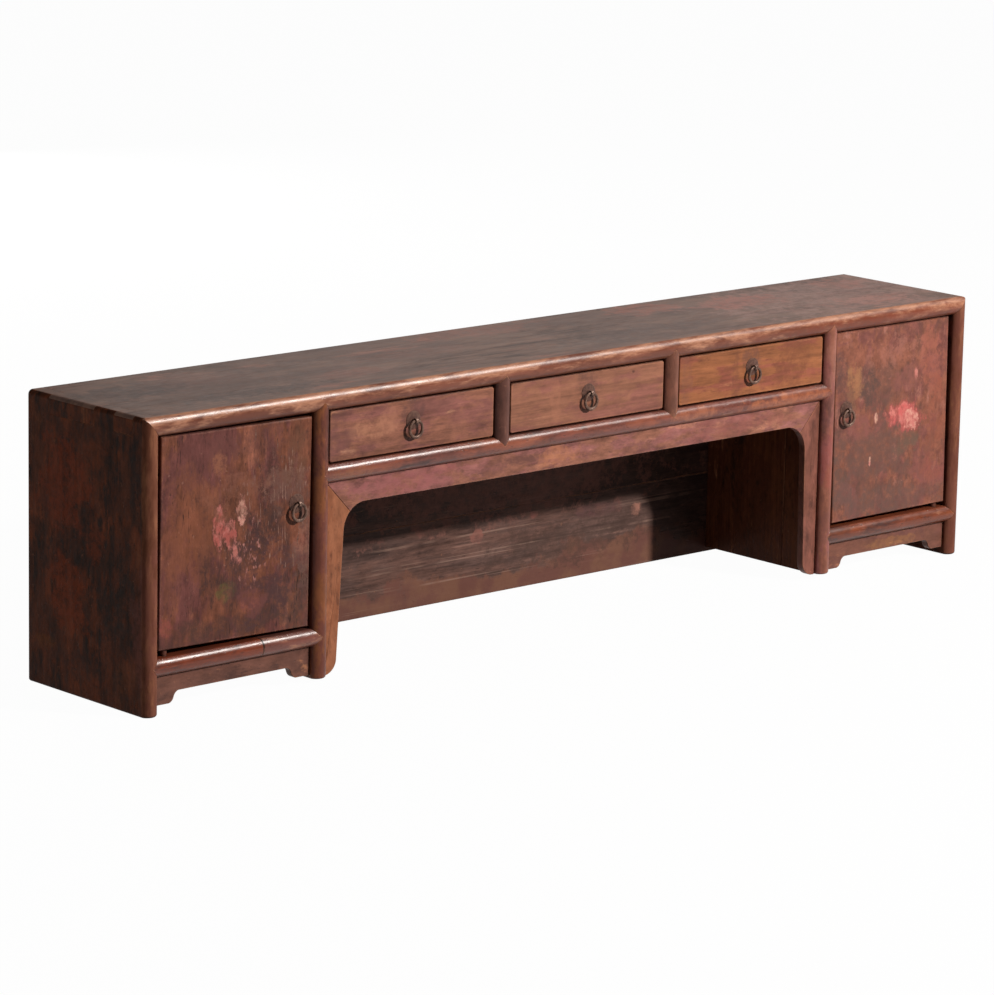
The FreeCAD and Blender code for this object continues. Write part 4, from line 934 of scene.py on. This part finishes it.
for node in sorted(frame["nodes"]):
    if node.endswith("_ring"):
        finished_piece(f"forged_{node}", forged_ring(node), RING_BRASS, node)
    elif node.endswith("_pull_plate"):
        even_shading(finished_piece(f"beaten_{node}", beaten_plate(node), PLATE_BRASS, node))
    elif node.endswith("_pull_eye"):
        shape = solid_of(node)
        ease_edges(shape, METAL_EASED_EDGE)
        even_shading(finished_piece(f"eased_{node}", shape, RING_BRASS, node))


# Floor, lights and camera

FLOOR_REACH = 60
FLOOR_GLOW = 0.975
FLOOR_PALE, FLOOR_GREY = (0.9, 0.9, 0.9, 1), (0.2, 0.2, 0.2, 1)
WORLD_GREY = (0.10, 0.098, 0.096, 1)
WARM_WHITE, PALE_WHITE = (1.0, 0.97, 0.93), (1.0, 0.98, 0.96)
LAMP_DISTANCE = 4.7
SHEEN_DISTANCE = 3.4

CAMERA_PLACE = (-4.3733, -4.71, 1.5848)
CAMERA_AZIMUTH = math.radians(-42.4973)
CAMERA_ELEVATION = math.radians(12.3977)
CAMERA_ROLL = math.radians(1.1667)
FOCAL_PIXELS = 4523
IMAGE_WIDTH = 994
SENSOR_WIDTH = 36
FAR_CLIP = 200


def make_floor():
    """A wide pale floor that looks white and keeps a soft shadow."""
    shape = bmesh.new()
    bmesh.ops.create_grid(shape, x_segments=1, y_segments=1, size=FLOOR_REACH)
    mesh = mesh_of("floor", shape)
    floor = new_object("floor", mesh)
    material = bpy.data.materials.new("pale_floor")
    material.use_nodes = True
    material.node_tree.nodes.clear()
    shading = Shading(material.node_tree)
    rays = shading.add("ShaderNodeLightPath").outputs
    mirrored = shading.math("MAXIMUM", rays["Is Glossy Ray"], rays["Is Transmission Ray"])
    seen = shading.math("MAXIMUM", rays["Is Camera Ray"], mirrored)
    pale = shading.add("ShaderNodeBsdfDiffuse", {"Color": FLOOR_PALE}).outputs[0]
    white = shading.add("ShaderNodeEmission", {"Color": (1, 1, 1, 1), "Strength": 1.0}).outputs[0]
    shown = shading.add("ShaderNodeMixShader", {0: FLOOR_GLOW, 1: pale, 2: white}).outputs[0]
    grey = shading.add("ShaderNodeBsdfDiffuse", {"Color": FLOOR_GREY}).outputs[0]
    both = shading.add("ShaderNodeMixShader", {0: seen, 1: grey, 2: shown}).outputs[0]
    shading.add("ShaderNodeOutputMaterial", {"Surface": both})
    mesh.materials.append(material)


def make_light(name, toward, size, power, distance=LAMP_DISTANCE, colour=WARM_WHITE, glints=True,
               lights=True):
    """A square lamp that shines at the middle of the cabinet, to light it, to glint on it or both."""
    lamp = bpy.data.lights.new(name, "AREA")
    lamp.size = size
    lamp.energy = power
    lamp.color = colour
    light = new_object(name, lamp)
    direction = Vector(toward).normalized()
    light.location = Vector((0, 0, TOP / 2)) + direction * distance
    light.rotation_euler = direction.to_track_quat("Z", "Y").to_euler()
    light.visible_camera = False
    light.visible_glossy = glints
    light.visible_diffuse = lights


def make_world():
    world = bpy.data.worlds.new("studio")
    world.use_nodes = True
    background = world.node_tree.nodes["Background"]
    background.inputs["Color"].default_value = WORLD_GREY
    background.inputs["Strength"].default_value = 1.0
    bpy.context.scene.world = world


def make_camera():
    lens = bpy.data.cameras.new("camera")
    lens.sensor_fit = "HORIZONTAL"
    lens.sensor_width = SENSOR_WIDTH
    lens.lens = SENSOR_WIDTH * FOCAL_PIXELS / IMAGE_WIDTH
    lens.clip_end = FAR_CLIP
    camera = new_object("camera", lens)
    turn = Matrix.Rotation(CAMERA_AZIMUTH, 4, "Z")
    tilt = Matrix.Rotation(QUARTER_TURN - CAMERA_ELEVATION, 4, "X")
    roll = Matrix.Rotation(CAMERA_ROLL, 4, "Z")
    camera.matrix_world = Matrix.Translation(CAMERA_PLACE) @ turn @ tilt @ roll
    bpy.context.scene.camera = camera


make_floor()
make_world()
make_light("key", (0.50, -1.0, 0.57), size=0.22, power=235, glints=False)
make_light("glint", (0.49, -0.475, 0.73), size=0.9, power=300, lights=False)
make_light("sheen", (0.66, 0.72, 0.30), size=2.0, power=4.0, distance=SHEEN_DISTANCE, colour=PALE_WHITE)
make_light("rear", (0.30, 1.0, 0.12), size=1.5, power=120, glints=False)
make_light("side", (-1.0, 0.35, 0.12), size=1.5, power=18, glints=False)
make_camera()
bpy.context.scene.view_settings.view_transform = "Standard"
